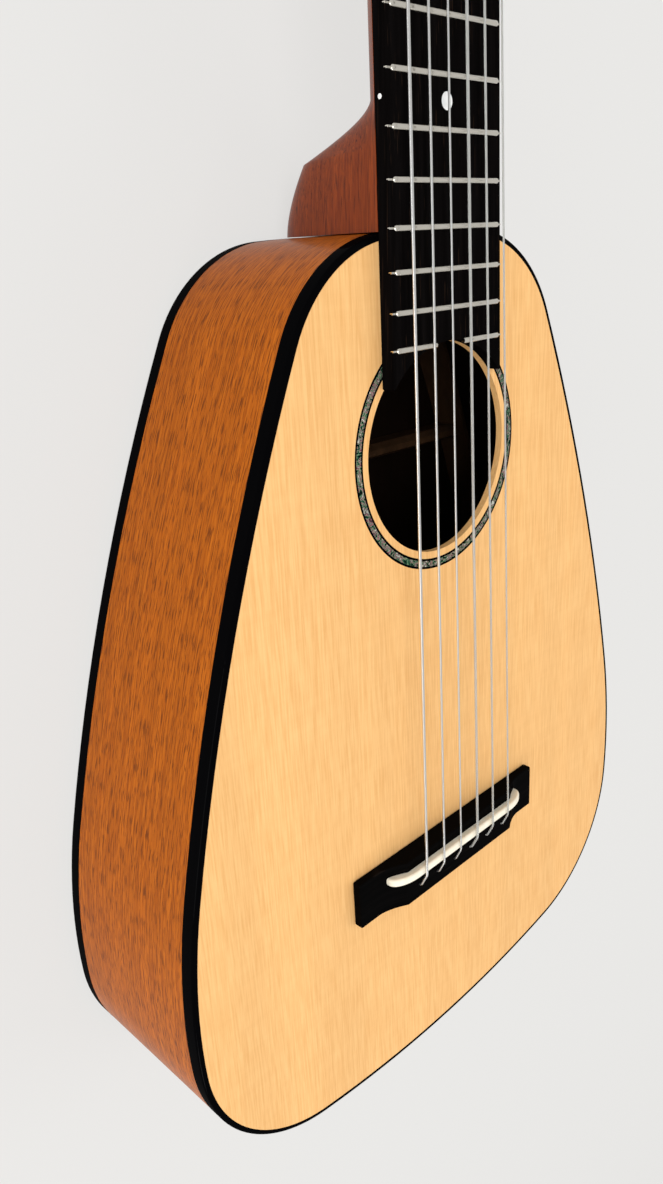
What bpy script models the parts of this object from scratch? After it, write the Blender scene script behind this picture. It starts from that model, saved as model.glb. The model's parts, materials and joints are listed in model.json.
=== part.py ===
"""A guitalele: a small six-string guitar with a waistless body, lying on its back.

Sizes are in metres. The instrument's own axes are those of its soundboard: X to the right as seen
from the front with the neck up, Y towards the headstock with 0 at the saddle's line, Z out of the
soundboard with 0 on its face. The body is deeper at its tail than at its neck, so the empty
instrument_axes tilts everything until the flat back lies level at Z = 0. The empty headstock_axes
lies on the headstock's face, which leans back from the nut.
"""

import math

import bmesh
import bpy
from mathutils import Matrix, Vector

# Clearances
SEAT_GAP = 0.0003
TURNING_GAP = 0.0003
SLOT_GAP = 0.00015

# Scale and neck
SCALE_LENGTH = 0.508
BODY_FRET = 14
FRET_COUNT = 17
NUT_WIDTH = 0.0488
JOINT_WIDTH = 0.0558
BOARD_THICKNESS = 0.0047
HORN_TIP_WIDTH = 0.0007
NECK_DEPTH_AT_NUT = 0.0135
NECK_DEPTH_AT_HEEL = 0.016
NECK_BACK_WIDTH = 0.032
NECK_ROUNDNESS = 3.0

# Heel and its tenon
HEEL_CAP_LENGTH = 0.0225
HEEL_LENGTH = 0.036
HEEL_ABOVE_BACK = 0.0024
HEEL_TOE_RISE = 0.0115
HEEL_CAP_WIDTH = 0.026
HEEL_ROUNDNESS = 14.0
TENON_WIDTH = 0.016
TENON_LENGTH = 0.018
TENON_TOP = 0.016
TENON_HEIGHT = 0.031

# Body outline: tangent arcs of the right half, from the neck's end to the tail
TOP_RADIUS = 0.400
TOP_ANGLE = 3.2
SHOULDER_RADIUS = 0.0516
SHOULDER_ANGLE = 61.6
FLANK_RADIUS = 0.806
FLANK_ANGLE = 12.3
HIP_RADIUS = 0.226
HIP_ANGLE = 16.5
CORNER_RADIUS = 0.063
CORNER_ANGLE = 76.7
OUTLINE_TOLERANCE = 0.0002

# Body depth and walls
NECK_END_DEPTH = 0.0659
TAIL_DEPTH = 0.0781
TOP_THICKNESS = 0.0025
BACK_THICKNESS = 0.0027
SIDE_THICKNESS = 0.002
BINDING_WIDTH = 0.0019
BINDING_HEIGHT = 0.0055
BINDING_ROUND = 0.001
LINING_WIDTH = 0.006
LINING_FOOT = 0.002
LINING_HEIGHT = 0.012

# Soundhole and rosette
SOUNDHOLE_RADIUS = 0.0366
SOUNDHOLE_SETBACK = 0.0719
ROSETTE_INSET = 0.0026
ROSETTE_WIDTH = 0.0037
ROSETTE_DEPTH = 0.0012
ROSETTE_SIDES = 40

# Blocks and braces inside the body
NECK_BLOCK_WIDTH = 0.070
NECK_BLOCK_LENGTH = 0.021
TAIL_BLOCK_WIDTH = 0.070
TAIL_BLOCK_LENGTH = 0.015
BRACE_WIDTH = 0.006
TOP_BRACE_HEIGHT = 0.010
BACK_BRACE_HEIGHT = 0.012
UPPER_BRACE_SPACE = 0.0025
LOWER_BRACE_SETBACK = 0.030
BACK_BRACE_UPPER_SHARE = 0.26
BACK_BRACE_LOWER_SHARE = 0.66
PATCH_LENGTH = 0.118
PATCH_WIDTH = 0.030
PATCH_THICKNESS = 0.002

# Bridge and saddle
BRIDGE_LENGTH = 0.109
BRIDGE_WIDTH = 0.019
BRIDGE_FRONT = 0.004
WING_HEIGHT = 0.0035
BLOCK_HEIGHT = 0.0078
BLOCK_LENGTH = 0.066
RAMP_LENGTH = 0.012
SADDLE_LENGTH = 0.082
SADDLE_THICKNESS = 0.0032
SADDLE_SETBACK = 0.0015
SADDLE_FLAT = 0.058
SADDLE_TOP = 0.011
SADDLE_END_TOP = 0.0054
SADDLE_SEAT = 0.0033
STRING_HOLE_SETBACK = 0.0091
STRING_HOLE_RADIUS = 0.0011

# Frets and nut
CROWN_WIDTH = 0.002
CROWN_HEIGHT = 0.001
CROWN_INSET = 0.0017
TANG_THICKNESS = 0.0005
TANG_DEPTH = 0.0016
TANG_SHOW = 0.0001
NUT_THICKNESS = 0.005
NUT_REVEAL = 0.0002
NUT_STRING_FLOOR = 0.0069

# Strings, bass to treble
STRING_DIAMETERS = (0.0011, 0.0009, 0.00076, 0.00102, 0.00082, 0.00071)
STRING_SPREAD_AT_NUT = 0.0385
STRING_SPREAD_AT_SADDLE = 0.0528
KNOT_RADIUS = 0.0016
STRING_LOOPS = 2.5
LOOP_STEPS = 12
LOOP_SPACE = 0.0006
LOOP_START_HEIGHT = 0.0045
STRING_TAIL = 0.004

# Headstock
HEADSTOCK_ANGLE = 11.0
HEADSTOCK_LENGTH = 0.116
HEADSTOCK_THICKNESS = 0.014
HEADSTOCK_SHOULDER_WIDTH = 0.059
HEADSTOCK_TIP_WIDTH = 0.066
HEADSTOCK_SHOULDER_LENGTH = 0.016
HEADSTOCK_CROWN = 0.005
HEADSTOCK_CORNER = 0.009
VENEER_THICKNESS = 0.002
VOLUTE_LENGTH = 0.020

# Machine heads
FIRST_POST = 0.036
POST_SPACING = 0.030
POST_LINE_WIDTH = 0.038
POST_RADIUS = 0.003
POST_ABOVE_VENEER = 0.0135
POST_SIDES = 12
GEAR_TEETH = 14
GEAR_THICKNESS = 0.0035
WORM_PITCH = 0.0022
WORM_RADIUS = 0.0022
WORM_TURNS = 2.0
WORM_STEPS = 12
THREAD_HEIGHT = 0.0006
THREAD_ROOT_WIDTH = 0.00096
THREAD_TIP_WIDTH = 0.00044
TOOTH_HEIGHT = 0.0005
TOOTH_ROOT_DEPTH = 0.0008
TOOTH_ROOT_WIDTH = 0.00108
TOOTH_TIP_WIDTH = 0.00056
SHAFT_RADIUS = 0.0015
COLLAR_RADIUS = 0.0022
COLLAR_LENGTH = 0.0009
PLATE_WIDTH = 0.0165
PLATE_THICKNESS = 0.0012
PLATE_MARGIN = 0.009
EAR_THICKNESS = 0.0015
EAR_WIDTH = 0.0062
EAR_BELOW_SHAFT = 0.0031
EAR_HALF_SPAN = 0.0043
BUTTON_STANDOFF = 0.003
BUTTON_LENGTH = 0.013
BUTTON_WIDTH = 0.0145
BUTTON_THICKNESS = 0.0085
SHAFT_SIDES = 12

# Places that follow from the sizes
BODY_TOP = SCALE_LENGTH * 2.0 ** (-BODY_FRET / 12.0)
HOLE_Y = BODY_TOP - SOUNDHOLE_SETBACK
SADDLE_Y = -SADDLE_SETBACK
STRING_HOLE_Y = -STRING_HOLE_SETBACK
BOARD_TOP = SEAT_GAP + BOARD_THICKNESS
BRIDGE_TAIL = BRIDGE_FRONT - BRIDGE_WIDTH
NUT_END = SCALE_LENGTH + SEAT_GAP + NUT_THICKNESS
INNER_INSET = SIDE_THICKNESS + SEAT_GAP
CAVITY_INSET = INNER_INSET + LINING_WIDTH + SEAT_GAP
PLATE_TOP = -HEADSTOCK_THICKNESS - SEAT_GAP
WORM_Z = PLATE_TOP - PLATE_THICKNESS - TURNING_GAP - WORM_RADIUS - THREAD_HEIGHT
GEAR_RADIUS = GEAR_TEETH * WORM_PITCH / (2.0 * math.pi)
WORM_DISTANCE = GEAR_RADIUS + WORM_RADIUS
VENEER_TOP = SEAT_GAP + VENEER_THICKNESS
POSTS = [
    (side, FIRST_POST + POST_SPACING * row, f"{name}_{row + 1}")
    for side, name in ((-1, "bass"), (1, "treble"))
    for row in range(3)
]


def clear_scene():
    for obj in list(bpy.data.objects):
        bpy.data.objects.remove(obj, do_unlink=True)


def make_material(name, colour, roughness, metallic=0.0):
    material = bpy.data.materials.new(name)
    material.use_nodes = True
    shader = material.node_tree.nodes["Principled BSDF"]
    shader.inputs["Base Color"].default_value = (*colour, 1.0)
    shader.inputs["Roughness"].default_value = roughness
    shader.inputs["Metallic"].default_value = metallic
    return material


def add_empty(name, location, rotation, parent=None):
    empty = bpy.data.objects.new(name, None)
    empty.location = location
    empty.rotation_euler = rotation
    empty.parent = parent
    bpy.context.scene.collection.objects.link(empty)
    return empty


def add_object(name, mesh, material, parent, location=(0.0, 0.0, 0.0)):
    obj = bpy.data.objects.new(name, mesh)
    obj.location = location
    obj.parent = parent
    if material:
        obj.data.materials.append(material)
    bpy.context.scene.collection.objects.link(obj)
    return obj


def add_helper(name, mesh, parent):
    """A cutter, or a shape to be joined on, which isn't itself a piece."""
    helper = add_object(name, mesh, None, parent)
    helper.hide_render = True
    helper.display_type = "WIRE"
    return helper


def boolean(target, tool, operation="DIFFERENCE"):
    modifier = target.modifiers.new(f"{operation.lower()}_{tool.name}", "BOOLEAN")
    modifier.object = tool
    modifier.operation = operation
    modifier.solver = "EXACT"


def finish_mesh(name, bm, smooth_angle=None):
    bmesh.ops.recalc_face_normals(bm, faces=bm.faces)
    mesh = bpy.data.meshes.new(name)
    bm.to_mesh(mesh)
    bm.free()
    if smooth_angle:
        mesh.shade_smooth()
        mesh.set_sharp_from_angle(angle=math.radians(smooth_angle))
    return mesh


def loft(name, rings, ring_closed=True, smooth_angle=None):
    """A skin over rings of equally many points. Its ends are capped, or joined if ring_closed is False."""
    bm = bmesh.new()
    rows = [[bm.verts.new(point) for point in ring] for ring in rings]
    count = len(rows[0])
    pairs = list(zip(rows, rows[1:]))
    if not ring_closed:
        pairs.append((rows[-1], rows[0]))
    for low, high in pairs:
        for i in range(count):
            j = (i + 1) % count
            bm.faces.new((low[i], low[j], high[j], high[i]))
    if ring_closed:
        bm.faces.new(list(reversed(rows[0])))
        bm.faces.new(rows[-1])
    return finish_mesh(name, bm, smooth_angle)


def box_rings(low, high):
    corners = ((low[0], low[1]), (high[0], low[1]), (high[0], high[1]), (low[0], high[1]))
    return [[(x, y, z) for x, y in corners] for z in (low[2], high[2])]


def box(name, low, high):
    return loft(name, box_rings(low, high))


def joined(name, ring_sets):
    """Several closed shapes that don't touch, in one mesh, for use as one cutter."""
    bm = bmesh.new()
    for rings in ring_sets:
        part = loft(name, rings)
        bm.from_mesh(part)
        bpy.data.meshes.remove(part)
    return finish_mesh(name, bm)


def circle(radius, sides, turn=0.0):
    angles = [turn + 2.0 * math.pi * i / sides for i in range(sides)]
    return [(radius * math.cos(a), radius * math.sin(a)) for a in angles]


def upright_rings(centre, radius, low, high, sides):
    """The two end rings of a cylinder along Z."""
    return [
        [(centre[0] + x, centre[1] + y, z) for x, y in circle(radius, sides)] for z in (low, high)
    ]


def cross_rings(start, end, y, z, radius, sides):
    """The two end rings of a cylinder along X."""
    return [[(x, y + u, z + v) for u, v in circle(radius, sides)] for x in (start, end)]


def outline_arcs():
    """The outline's right half as (centre, radius, first angle, last angle), clockwise from +Y."""
    arcs = []
    position = Vector((0.0, BODY_TOP))
    heading = 0.0
    for radius, degrees in (
        (TOP_RADIUS, TOP_ANGLE),
        (SHOULDER_RADIUS, SHOULDER_ANGLE),
        (FLANK_RADIUS, FLANK_ANGLE),
        (HIP_RADIUS, HIP_ANGLE),
        (CORNER_RADIUS, CORNER_ANGLE),
    ):
        centre = position - radius * Vector((math.sin(heading), math.cos(heading)))
        end = heading + math.radians(degrees)
        arcs.append((centre, radius, heading, end))
        position = centre + radius * Vector((math.sin(end), math.cos(end)))
        heading = end
    tail_radius = position.x / math.sin(heading)
    centre = position - tail_radius * Vector((math.sin(heading), math.cos(heading)))
    arcs.append((centre, tail_radius, heading, math.pi))
    return arcs


OUTLINE = outline_arcs()
BODY_TAIL = OUTLINE[-1][0].y - OUTLINE[-1][1]
BODY_LENGTH = BODY_TOP - BODY_TAIL
TAPER = (TAIL_DEPTH - NECK_END_DEPTH) / BODY_LENGTH
TAPER_ANGLE = math.atan(TAPER)


def back_z(y):
    """The outer face of the back below the soundboard's plane."""
    return -(NECK_END_DEPTH + TAPER * (BODY_TOP - y))


def half_outline(inset, start_x=0.0, end_x=0.0):
    """Points of the right half, neck end to tail, from X = start_x to X = end_x."""
    points = []
    for index, (centre, radius, start, end) in enumerate(OUTLINE):
        step = 2.0 * math.acos(1.0 - OUTLINE_TOLERANCE / radius)
        steps = max(1, math.ceil((end - start) / step))
        if index == 0 and start_x:
            start = math.asin(start_x / (radius - inset))
        last = index == len(OUTLINE) - 1
        if last and end_x:
            end = math.pi - math.asin(end_x / (radius - inset))
        for i in range(steps + 1 if last else steps):
            angle = start + (end - start) * i / steps
            reach = radius - inset
            points.append((centre.x + reach * math.sin(angle), centre.y + reach * math.cos(angle)))
    return points


def outline(inset):
    right = half_outline(inset)
    right[0] = (0.0, right[0][1])
    right[-1] = (0.0, right[-1][1])
    return right + [(-x, y) for x, y in reversed(right[1:-1])]


def outline_prism(name, inset, top, bottom):
    """A solid of the outline's shape. top and bottom give its height at each y."""
    points = outline(inset)
    return loft(name, [[(x, y, bottom(y)) for x, y in points], [(x, y, top(y)) for x, y in points]])


def outline_ring(name, section, smooth_angle=None):
    """A closed strip along the outline. section is a list of (inset, height at y)."""
    rings = [[(x, y, height(y)) for x, y in outline(inset)] for inset, height in section]
    return loft(name, rings, ring_closed=False, smooth_angle=smooth_angle)


def flat(z):
    return lambda y: z


def above_back(rise):
    return lambda y: back_z(y) + rise


TOP_UNDERSIDE = -TOP_THICKNESS - SEAT_GAP
BACK_INSIDE = BACK_THICKNESS + SEAT_GAP


def lining_section(front, grow):
    """The tapered strip in the corner between a side and the soundboard or the back."""
    outer = INNER_INSET - grow
    foot = INNER_INSET + LINING_FOOT + grow
    inner = INNER_INSET + LINING_WIDTH + 2.0 * grow
    near = -grow
    far = LINING_HEIGHT + grow
    if front:
        height = lambda depth: flat(TOP_UNDERSIDE - depth)
    else:
        height = lambda depth: above_back(BACK_INSIDE + depth)
    return [(outer, height(near)), (outer, height(far)), (foot, height(far)), (inner, height(near))]


def build_body(parent, spruce, mahogany, black, shell, lining_wood):
    edge_inset = BINDING_WIDTH + SEAT_GAP
    hole_cutter = add_helper(
        "cut_soundhole",
        joined("cut_soundhole", [upright_rings((0.0, HOLE_Y), SOUNDHOLE_RADIUS, -0.01, 0.01, 48)]),
        parent,
    )
    ring_inner = SOUNDHOLE_RADIUS + ROSETTE_INSET
    ring_outer = ring_inner + ROSETTE_WIDTH
    channel = add_helper(
        "cut_rosette_channel",
        flat_ring("cut_rosette_channel", ring_inner, ring_outer, SLOT_GAP, -ROSETTE_DEPTH - SEAT_GAP, 0.002),
        parent,
    )
    string_holes = add_helper(
        "cut_string_holes",
        joined(
            "cut_string_holes",
            [
                upright_rings((x, STRING_HOLE_Y), STRING_HOLE_RADIUS, -0.02, 0.02, 8)
                for x in string_xs(STRING_SPREAD_AT_SADDLE)
            ],
        ),
        parent,
    )
    soundboard = add_object(
        "soundboard",
        outline_prism("soundboard", edge_inset, flat(0.0), flat(-TOP_THICKNESS)),
        spruce,
        parent,
    )
    for cutter in (hole_cutter, channel, string_holes):
        boolean(soundboard, cutter)
    add_object(
        "rosette",
        flat_ring("rosette", ring_inner, ring_outer, 0.0, -ROSETTE_DEPTH, 0.0),
        shell,
        parent,
    )
    add_object(
        "back",
        outline_prism("back", edge_inset, above_back(BACK_THICKNESS), above_back(0.0)),
        mahogany,
        parent,
    )
    build_bindings(parent, black)
    build_sides(parent, mahogany)
    build_inside(parent, spruce, mahogany, lining_wood, string_holes)
    return string_holes


def flat_ring(name, inner, outer, grow, low, high):
    """A ring round the soundhole, with a rectangular section."""
    corners = ((inner - grow, low), (outer + grow, low), (outer + grow, high), (inner - grow, high))
    rings = [
        [(x, HOLE_Y + y, z) for x, y in circle(radius, ROSETTE_SIDES)] for radius, z in corners
    ]
    return loft(name, rings, ring_closed=False)


def build_bindings(parent, black):
    """Each binding fills the corner beside its plate, with the outer edge rounded over."""
    corner = BINDING_ROUND
    waist = 0.3 * BINDING_ROUND
    profile = (
        (BINDING_WIDTH, BINDING_HEIGHT),
        (0.0, BINDING_HEIGHT),
        (0.0, corner),
        (waist, waist),
        (corner, 0.0),
        (BINDING_WIDTH, 0.0),
    )
    front = [(inset, flat(-depth)) for inset, depth in profile]
    rear = [(inset, above_back(depth)) for inset, depth in profile]
    add_object("binding_front", outline_ring("binding_front", front, 40), black, parent)
    add_object("binding_back", outline_ring("binding_back", rear, 40), black, parent)


def build_sides(parent, mahogany):
    """Two bent sides. They leave room for the tenon at the neck and meet at the tail."""
    top = -BINDING_HEIGHT - SEAT_GAP
    outer = half_outline(0.0, TENON_WIDTH / 2.0 + SEAT_GAP, SEAT_GAP / 2.0)
    inner = half_outline(SIDE_THICKNESS, TENON_WIDTH / 2.0 + SEAT_GAP, SEAT_GAP / 2.0)
    foot = above_back(BINDING_HEIGHT + SEAT_GAP)
    for name, side in (("side_bass", -1), ("side_treble", 1)):
        rings = [
            [(side * a, b, top), (side * c, d, top), (side * c, d, foot(d)), (side * a, b, foot(b))]
            for (a, b), (c, d) in zip(outer, inner)
        ]
        add_object(name, loft(name, rings, smooth_angle=30), mahogany, parent)


def build_inside(parent, spruce, mahogany, lining_wood, string_holes):
    ceiling = flat(TOP_UNDERSIDE)
    floor = above_back(BACK_INSIDE)
    inner_blank = add_helper(
        "room_inside_sides", outline_prism("room_inside_sides", INNER_INSET, ceiling, floor), parent
    )
    cavity_blank = add_helper(
        "room_inside_linings",
        outline_prism("room_inside_linings", CAVITY_INSET, flat(0.01), above_back(-0.01)),
        parent,
    )
    notches = []
    for name, front in (("lining_front", True), ("lining_back", False)):
        add_object(name, outline_ring(name, lining_section(front, 0.0)), lining_wood, parent)
        cutter = f"cut_{name}"
        notches.append(
            add_helper(cutter, outline_ring(cutter, lining_section(front, SEAT_GAP)), parent)
        )
    mortise = add_helper("cut_mortise", tenon_box("cut_mortise", SEAT_GAP), parent)
    deep = back_z(BODY_TAIL) - 0.01
    neck_low = BODY_TOP - INNER_INSET - NECK_BLOCK_LENGTH
    tail_high = BODY_TAIL + INNER_INSET + TAIL_BLOCK_LENGTH
    neck_half = NECK_BLOCK_WIDTH / 2.0
    tail_half = TAIL_BLOCK_WIDTH / 2.0
    blocks = (
        ("neck_block", (-neck_half, neck_low, deep), (neck_half, BODY_TOP + 0.01, 0.01)),
        ("tail_block", (-tail_half, BODY_TAIL - 0.01, deep), (tail_half, tail_high, 0.01)),
    )
    for name, low, high in blocks:
        block = add_object(name, box(name, low, high), mahogany, parent)
        boolean(block, inner_blank, "INTERSECT")
        for notch in notches:
            boolean(block, notch)
        if name == "neck_block":
            boolean(block, mortise)
    upper_y = HOLE_Y + SOUNDHOLE_RADIUS + UPPER_BRACE_SPACE + BRACE_WIDTH / 2.0
    lower_y = HOLE_Y - SOUNDHOLE_RADIUS - LOWER_BRACE_SETBACK
    upper_back_y = BODY_TOP - BODY_LENGTH * BACK_BRACE_UPPER_SHARE
    lower_back_y = BODY_TOP - BODY_LENGTH * BACK_BRACE_LOWER_SHARE
    for name, y, base, height in (
        ("upper_brace", upper_y, ceiling, -TOP_BRACE_HEIGHT),
        ("lower_brace", lower_y, ceiling, -TOP_BRACE_HEIGHT),
        ("back_brace_upper", upper_back_y, floor, BACK_BRACE_HEIGHT),
        ("back_brace_lower", lower_back_y, floor, BACK_BRACE_HEIGHT),
    ):
        brace = add_object(name, brace_mesh(name, y, base, height), spruce, parent)
        boolean(brace, cavity_blank, "INTERSECT")
    patch_top = TOP_UNDERSIDE
    patch = add_object(
        "bridge_patch",
        box(
            "bridge_patch",
            (-PATCH_LENGTH / 2.0, STRING_HOLE_Y - PATCH_WIDTH / 2.0, patch_top - PATCH_THICKNESS),
            (PATCH_LENGTH / 2.0, STRING_HOLE_Y + PATCH_WIDTH / 2.0, patch_top),
        ),
        mahogany,
        parent,
    )
    boolean(patch, string_holes)


def brace_mesh(name, y, base, height):
    """A bar across the body, rounded on its free edge. It is cut to length by the linings."""
    half = BRACE_WIDTH / 2.0
    section = [
        (-half, 0.0),
        (half, 0.0),
        (half, 0.7 * height),
        (0.4 * half, height),
        (-0.4 * half, height),
        (-half, 0.7 * height),
    ]
    reach = 0.2
    return loft(
        name, [[(x, y + dy, base(y + dy) + rise) for dy, rise in section] for x in (-reach, reach)]
    )


def tenon_box(name, grow):
    half = TENON_WIDTH / 2.0 + grow
    low = -TENON_TOP - TENON_HEIGHT - grow
    return box(name, (-half, BODY_TOP - TENON_LENGTH - grow, low), (half, BODY_TOP + 0.008, -TENON_TOP + grow))


def board_half_width(y):
    share = (SCALE_LENGTH - y) / (SCALE_LENGTH - BODY_TOP)
    return (NUT_WIDTH + (JOINT_WIDTH - NUT_WIDTH) * share) / 2.0


def fret_y(number):
    return SCALE_LENGTH * 2.0 ** (-number / 12.0)


def string_xs(spread):
    return [spread * (i / 5.0 - 0.5) for i in range(6)]


def neck_section(y, top, depth, back_half, roundness):
    """The neck's cross-section at y: flat on top, then round to the back and up again."""
    wide = board_half_width(y)
    shares = [math.sin(math.radians(a)) for a in (0, 15, 30, 45, 60, 72, 82)]
    right = []
    for share in shares:
        width = wide + (back_half - wide) * share
        right.append((width * math.sqrt(1.0 - share**roundness), y, top - depth * share))
    left = [(-x, y, z) for x, y, z in reversed(right)]
    return right + [(0.0, y, top - depth)] + left


def heel_depth(run):
    """The heel's depth at a distance from the body: a sloping cap, then a steep rise to the neck."""
    full = NECK_END_DEPTH - HEEL_ABOVE_BACK
    toe = full - HEEL_TOE_RISE
    if run <= HEEL_CAP_LENGTH:
        return full - HEEL_TOE_RISE * max(run / HEEL_CAP_LENGTH, 0.0) ** 1.6
    share = min((run - HEEL_CAP_LENGTH) / (HEEL_LENGTH - HEEL_CAP_LENGTH), 1.0)
    return NECK_DEPTH_AT_HEEL + (toe - NECK_DEPTH_AT_HEEL) * (1.0 - share) ** 1.25


def build_neck(parent, head, mahogany, ebony):
    heel_back = HEEL_CAP_WIDTH / 2.0
    neck_back = NECK_BACK_WIDTH / 2.0
    rings = []
    rise = HEEL_LENGTH - HEEL_CAP_LENGTH
    runs = [-0.004] + [HEEL_CAP_LENGTH * s for s in (0.0, 0.2, 0.4, 0.6, 0.8, 0.93, 1.0)]
    runs += [HEEL_CAP_LENGTH + rise * s for s in (0.12, 0.28, 0.46, 0.64, 0.82, 1.0)]
    for run in runs:
        depth = heel_depth(run)
        share = (depth - NECK_DEPTH_AT_HEEL) / (heel_depth(0.0) - NECK_DEPTH_AT_HEEL)
        soft = min(1.0, 1.6 * share)
        roundness = NECK_ROUNDNESS + (HEEL_ROUNDNESS - NECK_ROUNDNESS) * soft**1.5
        back_half = neck_back + (heel_back - neck_back) * soft
        rings.append(neck_section(BODY_TOP + run, 0.0, depth, back_half, roundness))
    heel_end = BODY_TOP + HEEL_LENGTH
    for share in (0.15, 0.5, 0.85, 1.0):
        y = heel_end + (SCALE_LENGTH - heel_end) * share
        depth = NECK_DEPTH_AT_HEEL + (NECK_DEPTH_AT_NUT - NECK_DEPTH_AT_HEEL) * share
        rings.append(neck_section(y, 0.0, depth, neck_back, NECK_ROUNDNESS))
    lean = math.radians(HEADSTOCK_ANGLE)
    rings.append(neck_section(NUT_END, 0.0, NECK_DEPTH_AT_NUT, neck_back, NECK_ROUNDNESS))
    for share in (0.08, 0.4, 0.75, 1.0):
        run = VOLUTE_LENGTH * share
        top = -run * math.tan(lean) - 0.0006
        back_of_head = -run * math.tan(lean) - HEADSTOCK_THICKNESS / math.cos(lean)
        low = -NECK_DEPTH_AT_NUT + (back_of_head + 0.002 + NECK_DEPTH_AT_NUT) * share
        ring = neck_section(NUT_END, top, top - low, neck_back, NECK_ROUNDNESS)
        rings.append([(x, NUT_END + run, z) for x, _, z in ring])
    neck = add_object("neck", loft("neck", rings, smooth_angle=35), mahogany, parent)
    body_blank = add_helper(
        "cut_body_from_heel",
        outline_prism("cut_body_from_heel", -SEAT_GAP, flat(0.01), above_back(-0.01)),
        parent,
    )
    boolean(neck, body_blank)
    boolean(neck, add_helper("tenon", tenon_box("tenon", 0.0), parent), "UNION")
    head_blank = add_helper(
        "headstock_blank",
        headstock_prism("headstock_blank", 0.001, -HEADSTOCK_THICKNESS, 0.0, 0.0),
        head,
    )
    boolean(neck, head_blank, "UNION")
    holes = add_helper(
        "cut_post_holes",
        joined(
            "cut_post_holes",
            [
                upright_rings(post_centre(side, y), POST_RADIUS + TURNING_GAP, -0.03, 0.02, POST_SIDES)
                for side, y, _ in POSTS
            ],
        ),
        head,
    )
    boolean(neck, holes)
    veneer = add_object(
        "headstock_veneer",
        headstock_prism("headstock_veneer", 0.0007, SEAT_GAP, VENEER_TOP, 0.0),
        ebony,
        head,
    )
    boolean(veneer, holes)


def headstock_half_width(y):
    """An S-shaped shoulder out of the neck's width, then a straight flare to the tip."""
    neck_half = NUT_WIDTH / 2.0 - 0.0004
    shoulder_half = HEADSTOCK_SHOULDER_WIDTH / 2.0
    if y < HEADSTOCK_SHOULDER_LENGTH:
        share = y / HEADSTOCK_SHOULDER_LENGTH
        return neck_half + (shoulder_half - neck_half) * share * share * (3.0 - 2.0 * share)
    share = (y - HEADSTOCK_SHOULDER_LENGTH) / (HEADSTOCK_LENGTH - HEADSTOCK_SHOULDER_LENGTH)
    return shoulder_half + (HEADSTOCK_TIP_WIDTH / 2.0 - shoulder_half) * share


def headstock_prism(name, start, low, high, inset):
    right = []
    for share in (0.0, 0.25, 0.5, 0.75, 1.0):
        y = start + (HEADSTOCK_SHOULDER_LENGTH - start) * share
        right.append((headstock_half_width(y) - inset, y))
    corner_y = HEADSTOCK_LENGTH - HEADSTOCK_CROWN - HEADSTOCK_CORNER
    tip_half = headstock_half_width(corner_y) - inset
    for degrees in (0, 30, 60, 90):
        angle = math.radians(degrees)
        x = tip_half - HEADSTOCK_CORNER * (1.0 - math.cos(angle))
        right.append((x, corner_y + HEADSTOCK_CORNER * math.sin(angle)))
    crown_half = tip_half - HEADSTOCK_CORNER
    for share in (0.67, 0.33):
        right.append((crown_half * share, HEADSTOCK_LENGTH - HEADSTOCK_CROWN * share * share))
    points = right + [(0.0, HEADSTOCK_LENGTH)] + [(-x, y) for x, y in reversed(right)]
    return loft(name, [[(x, y, z) for x, y in points] for z in (low, high)])


def build_fretboard(parent, ebony, nickel, bone):
    fret17_half = board_half_width(fret_y(FRET_COUNT)) - HORN_TIP_WIDTH
    reach = max(SOUNDHOLE_RADIUS**2 - fret17_half**2, 0.0)
    board_end = HOLE_Y + math.sqrt(reach)
    slot_half = TANG_THICKNESS / 2.0 + SLOT_GAP
    slot_floor = BOARD_TOP + SEAT_GAP - TANG_DEPTH - SEAT_GAP
    profile = [(SCALE_LENGTH, SEAT_GAP), (SCALE_LENGTH, BOARD_TOP)]
    for number in range(1, FRET_COUNT + 1):
        y = fret_y(number)
        profile += [
            (y + slot_half, BOARD_TOP),
            (y + slot_half, slot_floor),
            (y - slot_half, slot_floor),
            (y - slot_half, BOARD_TOP),
        ]
    profile += [(board_end, BOARD_TOP), (board_end, SEAT_GAP)]
    rings = [[(side * board_half_width(y), y, z) for y, z in profile] for side in (-1, 1)]
    scoop = add_helper(
        "cut_board_scoop",
        joined("cut_board_scoop", [upright_rings((0.0, HOLE_Y), SOUNDHOLE_RADIUS, -0.01, 0.02, 48)]),
        parent,
    )
    board = add_object("fretboard", loft("fretboard", rings), ebony, parent)
    boolean(board, scoop)
    for number in range(1, FRET_COUNT):
        name = f"fret_{number:02d}"
        y = fret_y(number)
        half = board_half_width(y)
        add_object(name, fret_mesh(name, y, -half, half), nickel, parent)
    y = fret_y(FRET_COUNT)
    half = board_half_width(y)
    for label, start, end in (("bass", -half, -0.001), ("treble", 0.001, half)):
        name = f"fret_{FRET_COUNT}_{label}"
        fret = add_object(name, fret_mesh(name, y, start, end), nickel, parent)
        boolean(fret, scoop)
    add_object("nut", nut_mesh(), bone, parent)


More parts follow.
